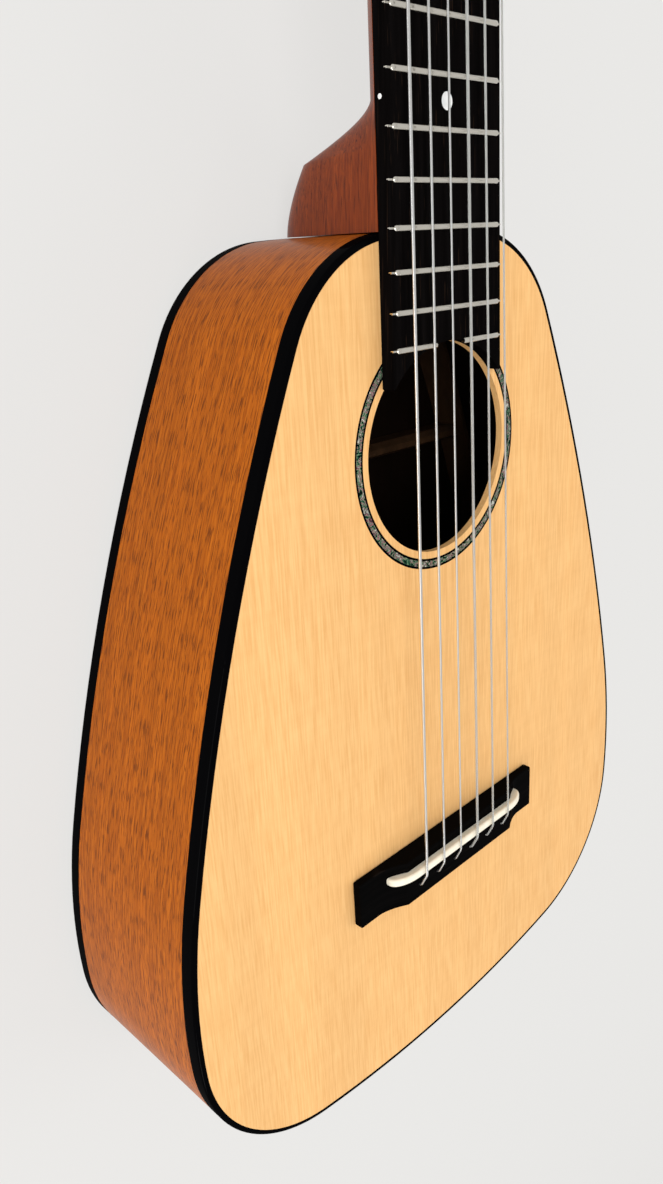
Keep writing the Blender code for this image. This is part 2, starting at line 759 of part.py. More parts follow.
def fret_mesh(name, y, start, end):
    """A crown set in from the board's edges on a tang that runs the slot's full length."""
    crown = CROWN_WIDTH / 2.0
    bare = TANG_THICKNESS / 2.0 + 0.00005
    rounding = 0.0009
    stations = []
    if start < -0.002:
        stations += [(start, bare, TANG_SHOW), (start + CROWN_INSET, bare, TANG_SHOW)]
        stations += [(start + CROWN_INSET + rounding, crown, CROWN_HEIGHT)]
    else:
        stations += [(start, crown, CROWN_HEIGHT)]
    if end > 0.002:
        stations += [(end - CROWN_INSET - rounding, crown, CROWN_HEIGHT)]
        stations += [(end - CROWN_INSET, bare, TANG_SHOW), (end, bare, TANG_SHOW)]
    else:
        stations += [(end, crown, CROWN_HEIGHT)]
    tang = TANG_THICKNESS / 2.0
    seat = BOARD_TOP + SEAT_GAP
    rings = []
    for x, half, height in stations:
        section = [
            (-half, 0.0),
            (-0.62 * half, 0.78 * height),
            (0.0, height),
            (0.62 * half, 0.78 * height),
            (half, 0.0),
            (tang, 0.0),
            (tang, -TANG_DEPTH),
            (-tang, -TANG_DEPTH),
            (-tang, 0.0),
        ]
        rings.append([(x, y + dy, seat + dz) for dy, dz in section])
    return loft(name, rings)


def nut_mesh():
    """The nut, with a notch for each string."""
    half = NUT_WIDTH / 2.0 - NUT_REVEAL
    top = [(half, 0.0)]
    strings = list(zip(string_xs(STRING_SPREAD_AT_NUT), STRING_DIAMETERS))
    for x, diameter in reversed(strings):
        room = diameter / 2.0 + SEAT_GAP
        floor = NUT_STRING_FLOOR - SEAT_GAP
        rim = NUT_STRING_FLOOR + 0.6 * diameter
        top += [(x + room, rim), (x + 0.8 * room, floor), (x - 0.8 * room, floor), (x - room, rim)]
    top[0] = (half, top[1][1] - 0.0005)
    top.append((-half, top[-1][1] - 0.0005))
    profile = [(-half, SEAT_GAP), (half, SEAT_GAP)] + top
    front = SCALE_LENGTH + SEAT_GAP
    rings = [[(x, y, z) for x, z in profile] for y in (front, front + NUT_THICKNESS)]
    return loft("nut", rings)


def build_bridge(parent, ebony, bone, string_holes):
    half = BRIDGE_LENGTH / 2.0
    block = BLOCK_LENGTH / 2.0
    low = SEAT_GAP
    wing = low + WING_HEIGHT
    high = low + BLOCK_HEIGHT
    rise = BLOCK_HEIGHT - WING_HEIGHT
    right = [
        (half, low),
        (half, wing),
        (block + RAMP_LENGTH, wing),
        (block + 0.6 * RAMP_LENGTH, wing + 0.16 * rise),
        (block + 0.25 * RAMP_LENGTH, wing + 0.6 * rise),
        (block, high),
    ]
    profile = right + [(-x, z) for x, z in reversed(right)]
    rings = [[(x, y, z) for x, z in profile] for y in (BRIDGE_TAIL, BRIDGE_FRONT)]
    bridge = add_object("bridge", loft("bridge", rings), ebony, parent)
    slot_x = SADDLE_LENGTH / 2.0 + SEAT_GAP
    slot_y = SADDLE_THICKNESS / 2.0 + SEAT_GAP
    slot = add_helper(
        "cut_saddle_slot",
        box(
            "cut_saddle_slot",
            (-slot_x, SADDLE_Y - slot_y, SADDLE_SEAT - SEAT_GAP),
            (slot_x, SADDLE_Y + slot_y, 0.02),
        ),
        parent,
    )
    boolean(bridge, slot)
    boolean(bridge, string_holes)
    add_object("saddle", saddle_mesh(), bone, parent)


def saddle_mesh():
    """A bone strip whose ends curve down into the bridge's ramps."""
    half = SADDLE_LENGTH / 2.0
    level = SADDLE_FLAT / 2.0
    right = [(half, SADDLE_SEAT)]
    for degrees in (0, 25, 50, 72, 90):
        angle = math.radians(degrees)
        x = level + (half - level) * math.cos(angle)
        right.append((x, SADDLE_END_TOP + (SADDLE_TOP - SADDLE_END_TOP) * math.sin(angle)))
    profile = right + [(-x, z) for x, z in reversed(right)]
    thick = SADDLE_THICKNESS / 2.0
    rings = [[(x, y, z) for x, z in profile] for y in (SADDLE_Y - thick, SADDLE_Y + thick)]
    return loft("saddle", rings)


def post_centre(side, y):
    return (side * POST_LINE_WIDTH / 2.0, y)


def head_matrix():
    lean = Matrix.Rotation(-math.radians(HEADSTOCK_ANGLE), 4, "X")
    return Matrix.Translation((0.0, NUT_END, 0.0)) @ lean


def string_route(index):
    """Points of one string, and the knot's swelling as radius factors, in the instrument's axes."""
    radius = STRING_DIAMETERS[index] / 2.0
    x = string_xs(STRING_SPREAD_AT_SADDLE)[index]
    nut_x = string_xs(STRING_SPREAD_AT_NUT)[index]
    patch_floor = TOP_UNDERSIDE - PATCH_THICKNESS
    bridge_top = SEAT_GAP + BLOCK_HEIGHT
    over = SADDLE_TOP + SEAT_GAP + radius
    swell = KNOT_RADIUS / radius
    knot_low = patch_floor - SEAT_GAP - 2.0 * KNOT_RADIUS
    rear = SADDLE_Y - SADDLE_THICKNESS / 2.0
    front = SADDLE_Y + SADDLE_THICKNESS / 2.0
    route = [
        ((x, STRING_HOLE_Y, knot_low), 0.6 * swell),
        ((x, STRING_HOLE_Y, knot_low + 0.5 * KNOT_RADIUS), swell),
        ((x, STRING_HOLE_Y, knot_low + 1.4 * KNOT_RADIUS), swell),
        ((x, STRING_HOLE_Y, knot_low + 1.9 * KNOT_RADIUS), 1.0),
        ((x, STRING_HOLE_Y, bridge_top - 0.0006), 1.0),
        ((x, STRING_HOLE_Y + 0.0008, bridge_top + 0.0010), 1.0),
        ((x, rear - 0.0004, over - 0.0002), 1.0),
        ((x, rear + 0.0009, over + 0.0001), 1.0),
        ((x, front, over), 1.0),
    ]
    nut_floor = NUT_STRING_FLOOR + radius
    leaving = (nut_x, NUT_END, nut_floor - 0.0001)
    route += [((nut_x, SCALE_LENGTH + SEAT_GAP, nut_floor), 1.0), (leaving, 1.0)]
    to_head = head_matrix()
    start = to_head.inverted() @ Vector(leaving)
    side = -1 if index < 3 else 1
    row = index if index < 3 else 5 - index
    post_x, post_y = post_centre(side, FIRST_POST + POST_SPACING * row)
    reach = (POST_RADIUS + SEAT_GAP + radius) / math.cos(math.pi / LOOP_STEPS)
    away = Vector((start.x - post_x, start.y - post_y))
    turn = -side
    first = math.atan2(away.y, away.x) + turn * math.acos(reach / away.length)
    pitch = STRING_DIAMETERS[index] + LOOP_SPACE
    low = VENEER_TOP + LOOP_START_HEIGHT
    steps = round(STRING_LOOPS * LOOP_STEPS)
    angle = first
    for i in range(steps + 1):
        angle = first + turn * 2.0 * math.pi * i / LOOP_STEPS
        height = low + pitch * i / LOOP_STEPS
        spot = Vector((post_x + reach * math.cos(angle), post_y + reach * math.sin(angle), height))
        route.append((to_head @ spot, 1.0))
    tangent = turn * Vector((-math.sin(angle), math.cos(angle), 0.0))
    route.append((to_head @ (spot + STRING_TAIL * tangent), 1.0))
    return route


def least_self_gap(points, diameter):
    """The least space between points more than a third of a loop apart along the string."""
    least = 1.0
    apart = LOOP_STEPS // 3
    for i, point in enumerate(points):
        for other in points[i + apart :]:
            least = min(least, (Vector(point) - Vector(other)).length)
    return least - diameter


def build_strings(parent, wound, nylon):
    for index, diameter in enumerate(STRING_DIAMETERS):
        name = f"string_{6 - index}"
        route = string_route(index)
        curve = bpy.data.curves.new(name, "CURVE")
        curve.dimensions = "3D"
        curve.bevel_depth = diameter / 2.0
        curve.bevel_resolution = 1
        curve.use_fill_caps = True
        spline = curve.splines.new("POLY")
        spline.points.add(len(route) - 1)
        for point, (place, factor) in zip(spline.points, route):
            point.co = (*place, 1.0)
            point.radius = factor
        curve.materials.append(wound if index < 3 else nylon)
        string = bpy.data.objects.new(name, curve)
        string.parent = parent
        bpy.context.scene.collection.objects.link(string)
        wound_part = [place for place, _ in route[-(round(STRING_LOOPS * LOOP_STEPS) + 2) :]]
        gap = 1000.0 * least_self_gap(wound_part, diameter)
        print(f"{name}: least gap of its winding to itself {gap:.2f} mm")


def gear_ring(z, twist):
    """The wheel's outline at one height: trapezoid teeth with a gap facing the worm."""
    tip = GEAR_RADIUS + TOOTH_HEIGHT
    root = GEAR_RADIUS - TOOTH_ROOT_DEPTH
    points = []
    for tooth in range(GEAR_TEETH):
        centre = -math.pi / 2.0 + 2.0 * math.pi * (tooth + 0.5) / GEAR_TEETH + twist
        for radius, offset in (
            (root, -TOOTH_ROOT_WIDTH / 2.0),
            (tip, -TOOTH_TIP_WIDTH / 2.0),
            (tip, TOOTH_TIP_WIDTH / 2.0),
            (root, TOOTH_ROOT_WIDTH / 2.0),
        ):
            angle = centre + offset / radius
            points.append((radius * math.cos(angle), radius * math.sin(angle), z))
    return points


def baked_mesh(name, obj, helpers):
    """The object's mesh with its modifiers applied, for copies to share."""
    bpy.context.view_layer.update()
    graph = bpy.context.evaluated_depsgraph_get()
    mesh = bpy.data.meshes.new_from_object(obj.evaluated_get(graph))
    mesh.name = name
    for item in (obj, *helpers):
        bpy.data.objects.remove(item, do_unlink=True)
    return mesh


def post_mesh(nickel):
    """A string post with its worm wheel at the lower end, upright on its own axis."""
    half = GEAR_THICKNESS / 2.0
    twist = half * WORM_PITCH / (2.0 * math.pi * WORM_RADIUS) / GEAR_RADIUS
    gear = loft("wheel", [gear_ring(WORM_Z - half, -twist), gear_ring(WORM_Z + half, twist)])
    wheel = add_object("wheel_maker", gear, nickel, None)
    top = VENEER_TOP + POST_ABOVE_VENEER
    flare = 0.0006
    profile = [
        (POST_RADIUS * 0.8, WORM_Z - half - 0.0008),
        (POST_RADIUS, WORM_Z - half - 0.0002),
        (POST_RADIUS, top - flare),
        (POST_RADIUS - flare, top),
    ]
    rings = [[(x, y, z) for x, y in circle(radius, POST_SIDES)] for radius, z in profile]
    shaft = add_helper("shaft_maker", loft("shaft_maker", rings), None)
    boolean(wheel, shaft, "UNION")
    mesh = baked_mesh("string_post", wheel, [shaft])
    mesh.shade_smooth()
    mesh.set_sharp_from_angle(angle=math.radians(35))
    return mesh


def thread_rings():
    """A right-handed thread along X, centred where it faces the wheel on the +Y side."""
    turns = WORM_TURNS
    rings = []
    steps = round(turns * WORM_STEPS)
    sunk = SHAFT_RADIUS - 0.0003
    crest = WORM_RADIUS + THREAD_HEIGHT
    for i in range(steps):
        turn = (i + 0.5) / WORM_STEPS - turns / 2.0
        angle = 2.0 * math.pi * turn
        x = WORM_PITCH * turn
        ring = []
        for radius, offset in (
            (sunk, -THREAD_ROOT_WIDTH / 2.0),
            (crest, -THREAD_TIP_WIDTH / 2.0),
            (crest, THREAD_TIP_WIDTH / 2.0),
            (sunk, THREAD_ROOT_WIDTH / 2.0),
        ):
            ring.append((x + offset, radius * math.cos(angle), radius * math.sin(angle)))
        rings.append(ring)
    return rings


def button_mesh(side, plastic):
    """A worm shaft with its button, along X from the inner ear outwards, on its own axis."""
    ear_face = EAR_HALF_SPAN - TURNING_GAP
    inner_end = EAR_HALF_SPAN + EAR_THICKNESS + 0.0008
    edge = HEADSTOCK_TIP_WIDTH / 2.0 - POST_LINE_WIDTH / 2.0 + BUTTON_STANDOFF
    profile = [
        (-inner_end, SHAFT_RADIUS, SHAFT_RADIUS),
        (-ear_face, SHAFT_RADIUS, SHAFT_RADIUS),
        (-ear_face, COLLAR_RADIUS, COLLAR_RADIUS),
        (-ear_face + COLLAR_LENGTH, COLLAR_RADIUS, COLLAR_RADIUS),
        (-ear_face + COLLAR_LENGTH, SHAFT_RADIUS, SHAFT_RADIUS),
        (ear_face - COLLAR_LENGTH, SHAFT_RADIUS, SHAFT_RADIUS),
        (ear_face - COLLAR_LENGTH, COLLAR_RADIUS, COLLAR_RADIUS),
        (ear_face, COLLAR_RADIUS, COLLAR_RADIUS),
        (ear_face, SHAFT_RADIUS, SHAFT_RADIUS),
        (edge, SHAFT_RADIUS, SHAFT_RADIUS),
    ]
    wide = BUTTON_WIDTH / 2.0
    thick = BUTTON_THICKNESS / 2.0
    for share, width, depth in (
        (0.0, 0.36, 0.55),
        (0.12, 0.62, 0.8),
        (0.4, 0.95, 1.0),
        (0.68, 1.0, 0.97),
        (0.9, 0.78, 0.75),
        (1.0, 0.42, 0.45),
    ):
        profile.append((edge + BUTTON_LENGTH * share, wide * width, thick * depth))
    rings = []
    for x, across, deep in profile:
        rings.append([(side * x, across * u, deep * v) for u, v in circle(1.0, SHAFT_SIDES)])
    shaft = add_object("button_maker", loft("button_maker", rings), plastic, None)
    thread = add_helper("thread_maker", loft("thread_maker", thread_rings()), None)
    boolean(shaft, thread, "UNION")
    mesh = baked_mesh("worm_shaft", shaft, [thread])
    mesh.shade_smooth()
    mesh.set_sharp_from_angle(angle=math.radians(40))
    return mesh


def build_machine_heads(head, nickel, brass):
    post = post_mesh(nickel)
    for side, name in ((-1, "bass"), (1, "treble")):
        build_plate(head, side, f"tuner_plate_{name}", nickel)
        shaft = button_mesh(side, brass)
        for place, y, label in POSTS:
            if place != side:
                continue
            x, _ = post_centre(side, y)
            add_object(f"string_post_{label}", post, None, head, (x, y, 0.0))
            spot = (x, y - WORM_DISTANCE, WORM_Z)
            add_object(f"tuner_button_{label}", shaft, None, head, spot)


def build_plate(head, side, name, nickel):
    """One plate for three machine heads, with an ear at each end of every worm."""
    x, _ = post_centre(side, 0.0)
    ys = [y for place, y, _ in POSTS if place == side]
    half = PLATE_WIDTH / 2.0
    low_y = ys[0] - WORM_DISTANCE - EAR_WIDTH / 2.0 - 0.004
    base = box(
        name,
        (x - half, low_y, PLATE_TOP - PLATE_THICKNESS),
        (x + half, ys[-1] + PLATE_MARGIN, PLATE_TOP),
    )
    plate = add_object(name, base, nickel, head)
    ears = []
    for y in ys:
        for way in (-1, 1):
            near = EAR_HALF_SPAN * way
            far = (EAR_HALF_SPAN + EAR_THICKNESS) * way
            middle = y - WORM_DISTANCE
            low_x, high_x = sorted((x + near, x + far))
            ears.append(
                box_rings(
                    (low_x, middle - EAR_WIDTH / 2.0, WORM_Z - EAR_BELOW_SHAFT),
                    (high_x, middle + EAR_WIDTH / 2.0, PLATE_TOP - PLATE_THICKNESS / 2.0),
                )
            )
    boolean(plate, add_helper(f"{name}_ears", joined(f"{name}_ears", ears), head), "UNION")
    hole = POST_RADIUS + TURNING_GAP
    posts = [upright_rings((x, y), hole, PLATE_TOP - 0.01, PLATE_TOP + 0.01, POST_SIDES) for y in ys]
    boolean(plate, add_helper(f"{name}_post_holes", joined(f"{name}_post_holes", posts), head))
    hole = SHAFT_RADIUS + TURNING_GAP
    reach = 0.009
    shafts = [
        cross_rings(x - reach, x + reach, y - WORM_DISTANCE, WORM_Z, hole, SHAFT_SIDES) for y in ys
    ]
    boolean(plate, add_helper(f"{name}_shaft_holes", joined(f"{name}_shaft_holes", shafts), head))


def main():
    clear_scene()
    spruce = make_material("spruce", (0.86, 0.60, 0.32), 0.25)
    mahogany = make_material("mahogany", (0.45, 0.16, 0.06), 0.25)
    black = make_material("black_binding", (0.01, 0.01, 0.01), 0.12)
    shell = make_material("rosette_shell", (0.20, 0.30, 0.26), 0.2)
    lining_wood = make_material("lining_wood", (0.60, 0.40, 0.22), 0.7)
    ebony = make_material("ebony", (0.015, 0.013, 0.012), 0.35)
    bone = make_material("bone", (0.88, 0.83, 0.68), 0.35)
    nickel = make_material("nickel", (0.75, 0.74, 0.70), 0.25, 1.0)
    wound = make_material("wound_string", (0.80, 0.79, 0.76), 0.35, 1.0)
    nylon = make_material("nylon_string", (0.85, 0.85, 0.82), 0.2)
    button = make_material("button_plastic", (0.83, 0.80, 0.72), 0.3)
    depth_at_saddle = -back_z(0.0)
    parent = add_empty(
        "instrument_axes",
        (0.0, 0.0, depth_at_saddle * math.cos(TAPER_ANGLE)),
        (-TAPER_ANGLE, 0.0, 0.0),
    )
    head = add_empty(
        "headstock_axes", (0.0, NUT_END, 0.0), (-math.radians(HEADSTOCK_ANGLE), 0.0, 0.0), parent
    )
    string_holes = build_body(parent, spruce, mahogany, black, shell, lining_wood)
    build_neck(parent, head, mahogany, ebony)
    build_fretboard(parent, ebony, nickel, bone)
    build_bridge(parent, ebony, bone, string_holes)
    build_strings(parent, wound, nylon)
    build_machine_heads(head, nickel, button)


main()
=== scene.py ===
"""Looks of the guitalele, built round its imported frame. Metres, in the row frame."""

import json
import math

import bmesh
import bpy
from mathutils import Matrix, Quaternion, Vector


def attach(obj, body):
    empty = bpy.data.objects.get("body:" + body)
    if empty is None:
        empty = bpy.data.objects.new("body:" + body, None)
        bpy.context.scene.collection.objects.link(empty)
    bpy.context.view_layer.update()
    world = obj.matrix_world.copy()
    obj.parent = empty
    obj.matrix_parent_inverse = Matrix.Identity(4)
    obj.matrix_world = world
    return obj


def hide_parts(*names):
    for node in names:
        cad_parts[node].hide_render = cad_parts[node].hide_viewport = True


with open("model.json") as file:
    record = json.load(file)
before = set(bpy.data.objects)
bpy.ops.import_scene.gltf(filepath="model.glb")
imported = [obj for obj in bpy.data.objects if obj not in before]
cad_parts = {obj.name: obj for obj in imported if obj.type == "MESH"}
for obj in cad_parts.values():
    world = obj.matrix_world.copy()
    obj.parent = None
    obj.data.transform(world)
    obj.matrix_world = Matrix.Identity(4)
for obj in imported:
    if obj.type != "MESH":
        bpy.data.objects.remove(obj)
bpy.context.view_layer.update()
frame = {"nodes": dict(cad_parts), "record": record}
ROOT = "instrument"
SEAT_GAP = 0.0003

# Scale, neck and fingerboard, as in the CAD: Y runs from the saddle to the nut
SCALE = 0.508
BODY_FRET = 14
FRET_COUNT = 17
NUT_WIDTH = 0.0488
JOINT_WIDTH = 0.0558
NUT_END = 0.5133
BOARD_TOP = 0.005
HORN_TIP_WIDTH = 0.0007
HORN_STEPS = 40
BOARD_EDGE = 0.0003
NECK_DEPTH_AT_NUT = 0.0135
NECK_DEPTH_AT_HEEL = 0.016
NECK_BACK_HALF = 0.016
NECK_ROUNDNESS = 3.0
HEEL_CAP_LENGTH = 0.0225
HEEL_LENGTH = 0.036
HEEL_ABOVE_BACK = 0.0024
HEEL_TOE_RISE = 0.0115
HEEL_NARROWING = 0.003
HEEL_SQUARENESS = 11.0
HEEL_SQUARE_RATE = 1.6
HEEL_SQUARE_CURVE = 1.5
HEEL_CAP_CURVE = 1.6
HEEL_SWEEP_CURVE = 1.25
HEEL_CAP_STEPS = 12
HEEL_SWEEP_STEPS = 14
NECK_STEPS = 8
NECK_SIDES = 20

# Fret wire: half widths and heights over the board
CROWN_HALF = 0.001
CROWN_HEIGHT = 0.001
CROWN_INSET = 0.0017
CROWN_END_LENGTH = 0.0009
# Along an end in shares of its length, then shares of the crown's half width and height
CROWN_END = ((0.02, 0.45, 0.2), (0.2, 0.75, 0.6), (0.5, 0.93, 0.88), (1.0, 1.0, 1.0))
# The same at the soundhole's scoop, but metres along
CROWN_CUT = ((0.0, 0.9, 0.8), (0.0004, 1.0, 1.0))
CROWN_SIDES = 10
BOARD_EDGE_REACH = 0.02
TANG_END_HALF = 0.0003
TANG_END_HEIGHT = 0.00012
TANG_HALF = 0.00025
TANG_DEPTH = 0.001

# Nut and position marks
NUT_HALF = 0.0242
NUT_END_HEIGHT = 0.0066
NUT_FLOOR = 0.0069
NUT_CROWN = 0.0005
NUT_STEPS = 8
NUT_FRONT_GAP = 0.0001
DOT_Y = 0.262
DOT_RADIUS = 0.0026
SIDE_DOT_RADIUS = 0.00075
SIDE_DOT_HEIGHT = 0.0022
NUT_EDGE = 0.0005
DOT_DEPTH = 0.001
DOT_PROUD = 0.00002

# Body: the soundboard's plane slopes against the flat back
SLOPE = 0.037798940029
RISE = 0.074404
NECK_END_DEPTH = 0.0659
TOP_RADIUS = 0.400
# Radius and degrees of the outline's arcs, from the neck joint to the tail's last arc
OUTLINE_ARCS = ((TOP_RADIUS, 3.2), (0.0516, 61.6), (0.806, 12.3), (0.226, 16.5), (0.063, 76.7))
OUTLINE_TOLERANCE = 0.00002
TOP_THICKNESS = 0.0025
BACK_THICKNESS = 0.0027
PLATE_INSET = 0.0021
BINDING_WIDTH = 0.0020
BINDING_HEIGHT = 0.0056
BINDING_ROUND = 0.0011
BINDING_STEPS = 6
SIDE_INSET = 0.00005
SIDE_THICKNESS = 0.002
SIDE_EDGE = 0.0057
SIDE_RING_POINTS = 4

# Soundhole and rosette
SOUNDHOLE_RADIUS = 0.0366
SOUNDHOLE_SETBACK = 0.0719
HOLE_SIDES = 128
ROSETTE_INSET = 0.0026
ROSETTE_WIDTH = 0.0037
ROSETTE_LINE = 0.0008
ROSETTE_DEPTH = 0.0008
ROSETTE_PROUD = 0.00004

# Bridge and saddle
BRIDGE_HALF = 0.0545
BRIDGE_TAIL = -0.015
BRIDGE_FRONT = 0.004
WING_HEIGHT = 0.0038
BLOCK_HEIGHT = 0.0081
RAMP_START = 0.045
RAMP_LENGTH = 0.012
RAMP_CURVE = 1.7
RAMP_STEPS = 8
BRIDGE_EDGE = 0.0007
SADDLE_HALF = 0.041
SADDLE_FLAT_HALF = 0.029
SADDLE_TAIL = -0.0031
SADDLE_FRONT = 0.0001
SADDLE_SEAT = 0.0030
SADDLE_END_TOP = 0.0054
SADDLE_TOP = 0.011
SADDLE_STEPS = 16
SADDLE_EDGE = 0.0009

# Strings, from the bass to the treble
STRING_DIAMETERS = (0.0011, 0.0009, 0.00076, 0.00102, 0.00082, 0.00071)
WOUND_COUNT = 3
STRINGS_PER_SIDE = 3
SPREAD_AT_SADDLE = 0.0528
SPREAD_AT_NUT = 0.0385
STRING_HOLE_Y = -0.0091
PATCH_BOTTOM = -0.0048
KNOT_RADIUS = 0.0016
# Height over the knot's foot and share of its radius
KNOT_PROFILE = ((0.0, 0.6), (0.0004, 0.85), (0.0009, 1.0), (0.0022, 1.0))
KNOT_TOP = 0.0030
# Way forward from the string hole and height, where a string bends out of the bridge
HOLE_BEND = ((0.0, 0.0072), (0.0003, 0.0084), (0.0009, 0.0091))
# Place along the string and height from the saddle's top, where it breaks over the saddle
SADDLE_BREAK = ((-0.0035, -0.0003), (-0.0024, 0.0), (0.0001, 0.0))
NUT_BACK_DROP = 0.0001
STRING_LOOPS = 2.5
LOOP_STEPS = 24
LOOP_SPACE = 0.0006
LOOP_START_HEIGHT = 0.0045
STRING_TAIL = 0.004

# Headstock
HEAD_ANGLE = math.radians(11.0)
HEAD_LENGTH = 0.116
HEAD_THICKNESS = 0.014
HEAD_HALF_AT_NUT = 0.024
HEAD_HALF_AT_SHOULDER = 0.0295
HEAD_HALF_AT_TIP = 0.033
SHOULDER_LENGTH = 0.016
HEAD_CROWN = 0.005
HEAD_CORNER = 0.009
HEAD_START = 0.001
VENEER_START = 0.0007
VENEER_LIFT = 0.00006
VENEER_TOP = 0.0023
HEAD_EDGE = 0.0012
VENEER_EDGE = 0.0004
HEAD_STEPS = 8
VOLUTE_LENGTH = 0.020
VOLUTE_TOP_GAP = 0.0006
VOLUTE_END_RISE = 0.002

# Machine heads: places in the headstock's axes
POST_X = 0.019
POST_YS = (0.036, 0.066, 0.096)
POST_RADIUS = 0.003
POST_SIDES = 12
POST_ABOVE_VENEER = 0.0135
PLATE_BOTTOM = -0.0155
SCREW_YS = (0.0195, 0.0495, 0.0795, 0.1035)
SCREW_OFFSET = 0.0062
SCREW_SIDES = 16
GEAR_TEETH = 14
WORM_PITCH = 0.0022
WORM_RADIUS = 0.0022
WORM_Z = -0.0186
BUTTON_STANDOFF = 0.003
BUTTON_LENGTH = 0.013
BUTTON_HALF_WIDTH = 0.00725
BUTTON_HALF_THICKNESS = 0.00425
ROUND_SIDES = 32
TURNED_TIP = 0.00001
# Radius and height of turned pieces: over the veneer, over the post's end, and from the plate's underside
FERRULE = (
    (0.0034, -0.0028),
    (0.0052, 0.0),
    (0.0052, 0.0004),
    (0.0046, 0.0012),
    (0.0034, 0.0014),
    (0.00335, -0.0028),
)
POST_CAP = ((0.0029, -0.0004), (0.0029, 0.0), (0.0023, 0.0005), (0.0, 0.0006))
SCREW_HEAD = ((0.0016, 0.0003), (0.0016, -0.0002), (0.0012, -0.0007), (0.0, -0.0009))
# Share of the button's length, of its half width and of its half thickness, from the shaft out
BUTTON_SHAPE = (
    (-0.03, 0.28, 0.5),
    (0.0, 0.42, 0.66),
    (0.06, 0.60, 0.84),
    (0.15, 0.76, 0.97),
    (0.28, 0.92, 1.05),
    (0.45, 1.02, 1.08),
    (0.6, 1.05, 1.07),
    (0.75, 1.0, 1.03),
    (0.88, 0.88, 0.93),
    (0.96, 0.72, 0.78),
    (1.01, 0.5, 0.56),
    (1.03, 0.2, 0.25),
)

# Camera, found from the frets, the strings and the body's outline, in the instrument's axes
CAMERA_SPOT = (-0.25123, 0.22036, 0.20371)
CAMERA_TURN = Vector((-2.6189, 0.2639, -1.0671))
CAMERA_LENS = 28.27
CAMERA_SENSOR = 36.0
CAMERA_NEAR = 0.01

# Studio
FLOOR_HALF = 40.0
FLOOR_SPOT = (0.0, 0.2, -0.0004)
FLOOR_COLOUR = (0.72, 0.715, 0.70, 1.0)
FLOOR_SHOWN = (233, 232, 230)
FLOOR_SHARE_SHOWN = 0.8
WORLD_COLOUR = (1.0, 0.995, 0.985, 1.0)
WORLD_STRENGTH = 0.62
BACKDROP = (232, 231, 229)
# Name, place, what it points at, size, watts and whether gloss shows it
LAMPS = (
    ("key", (-0.9, 0.5, 1.5), (0.0, 0.1, 0.05), 0.9, 17.0, False),
    ("fill", (1.2, -0.4, 1.3), (0.0, 0.1, 0.05), 1.0, 7.0, False),
    ("side", (-1.5, -0.1, 0.35), (0.0, 0.1, 0.04), 0.7, 5.0, True),
    ("corner_glint", (-0.70, -0.98, 0.66), (-0.1, 0.0, 0.07), 0.30, 2.2, True),
)


def shares(steps):
    """0 to 1 in even steps."""
    return [i / steps for i in range(steps + 1)]


def fret_y(number):
    return SCALE * 2.0 ** (-number / 12.0)


BODY_TOP = fret_y(BODY_FRET)
HOLE_Y = BODY_TOP - SOUNDHOLE_SETBACK
WORM_DISTANCE = GEAR_TEETH * WORM_PITCH / (2.0 * math.pi) + WORM_RADIUS

# The instrument's axes have Z out of the soundboard, and the headstock's have Z out of its face
BODY = Matrix.Translation((0.0, 0.0, RISE)) @ Matrix.Rotation(-SLOPE, 4, "X")
TO_HEAD = Matrix.Translation((0.0, NUT_END, 0.0)) @ Matrix.Rotation(-HEAD_ANGLE, 4, "X")
HEAD = BODY @ TO_HEAD


def srgb(red, green, blue):
    """A colour as a picture shows it, 0 to 255, in Blender's linear values."""
    out = []
    for value in (red, green, blue):
        c = value / 255.0
        out.append(c / 12.92 if c <= 0.04045 else ((c + 0.055) / 1.055) ** 2.4)
    return (*out, 1.0)


def grey(level):
    return (level, level, level, 1.0)


NONE = grey(0.0)
FULL = grey(1.0)


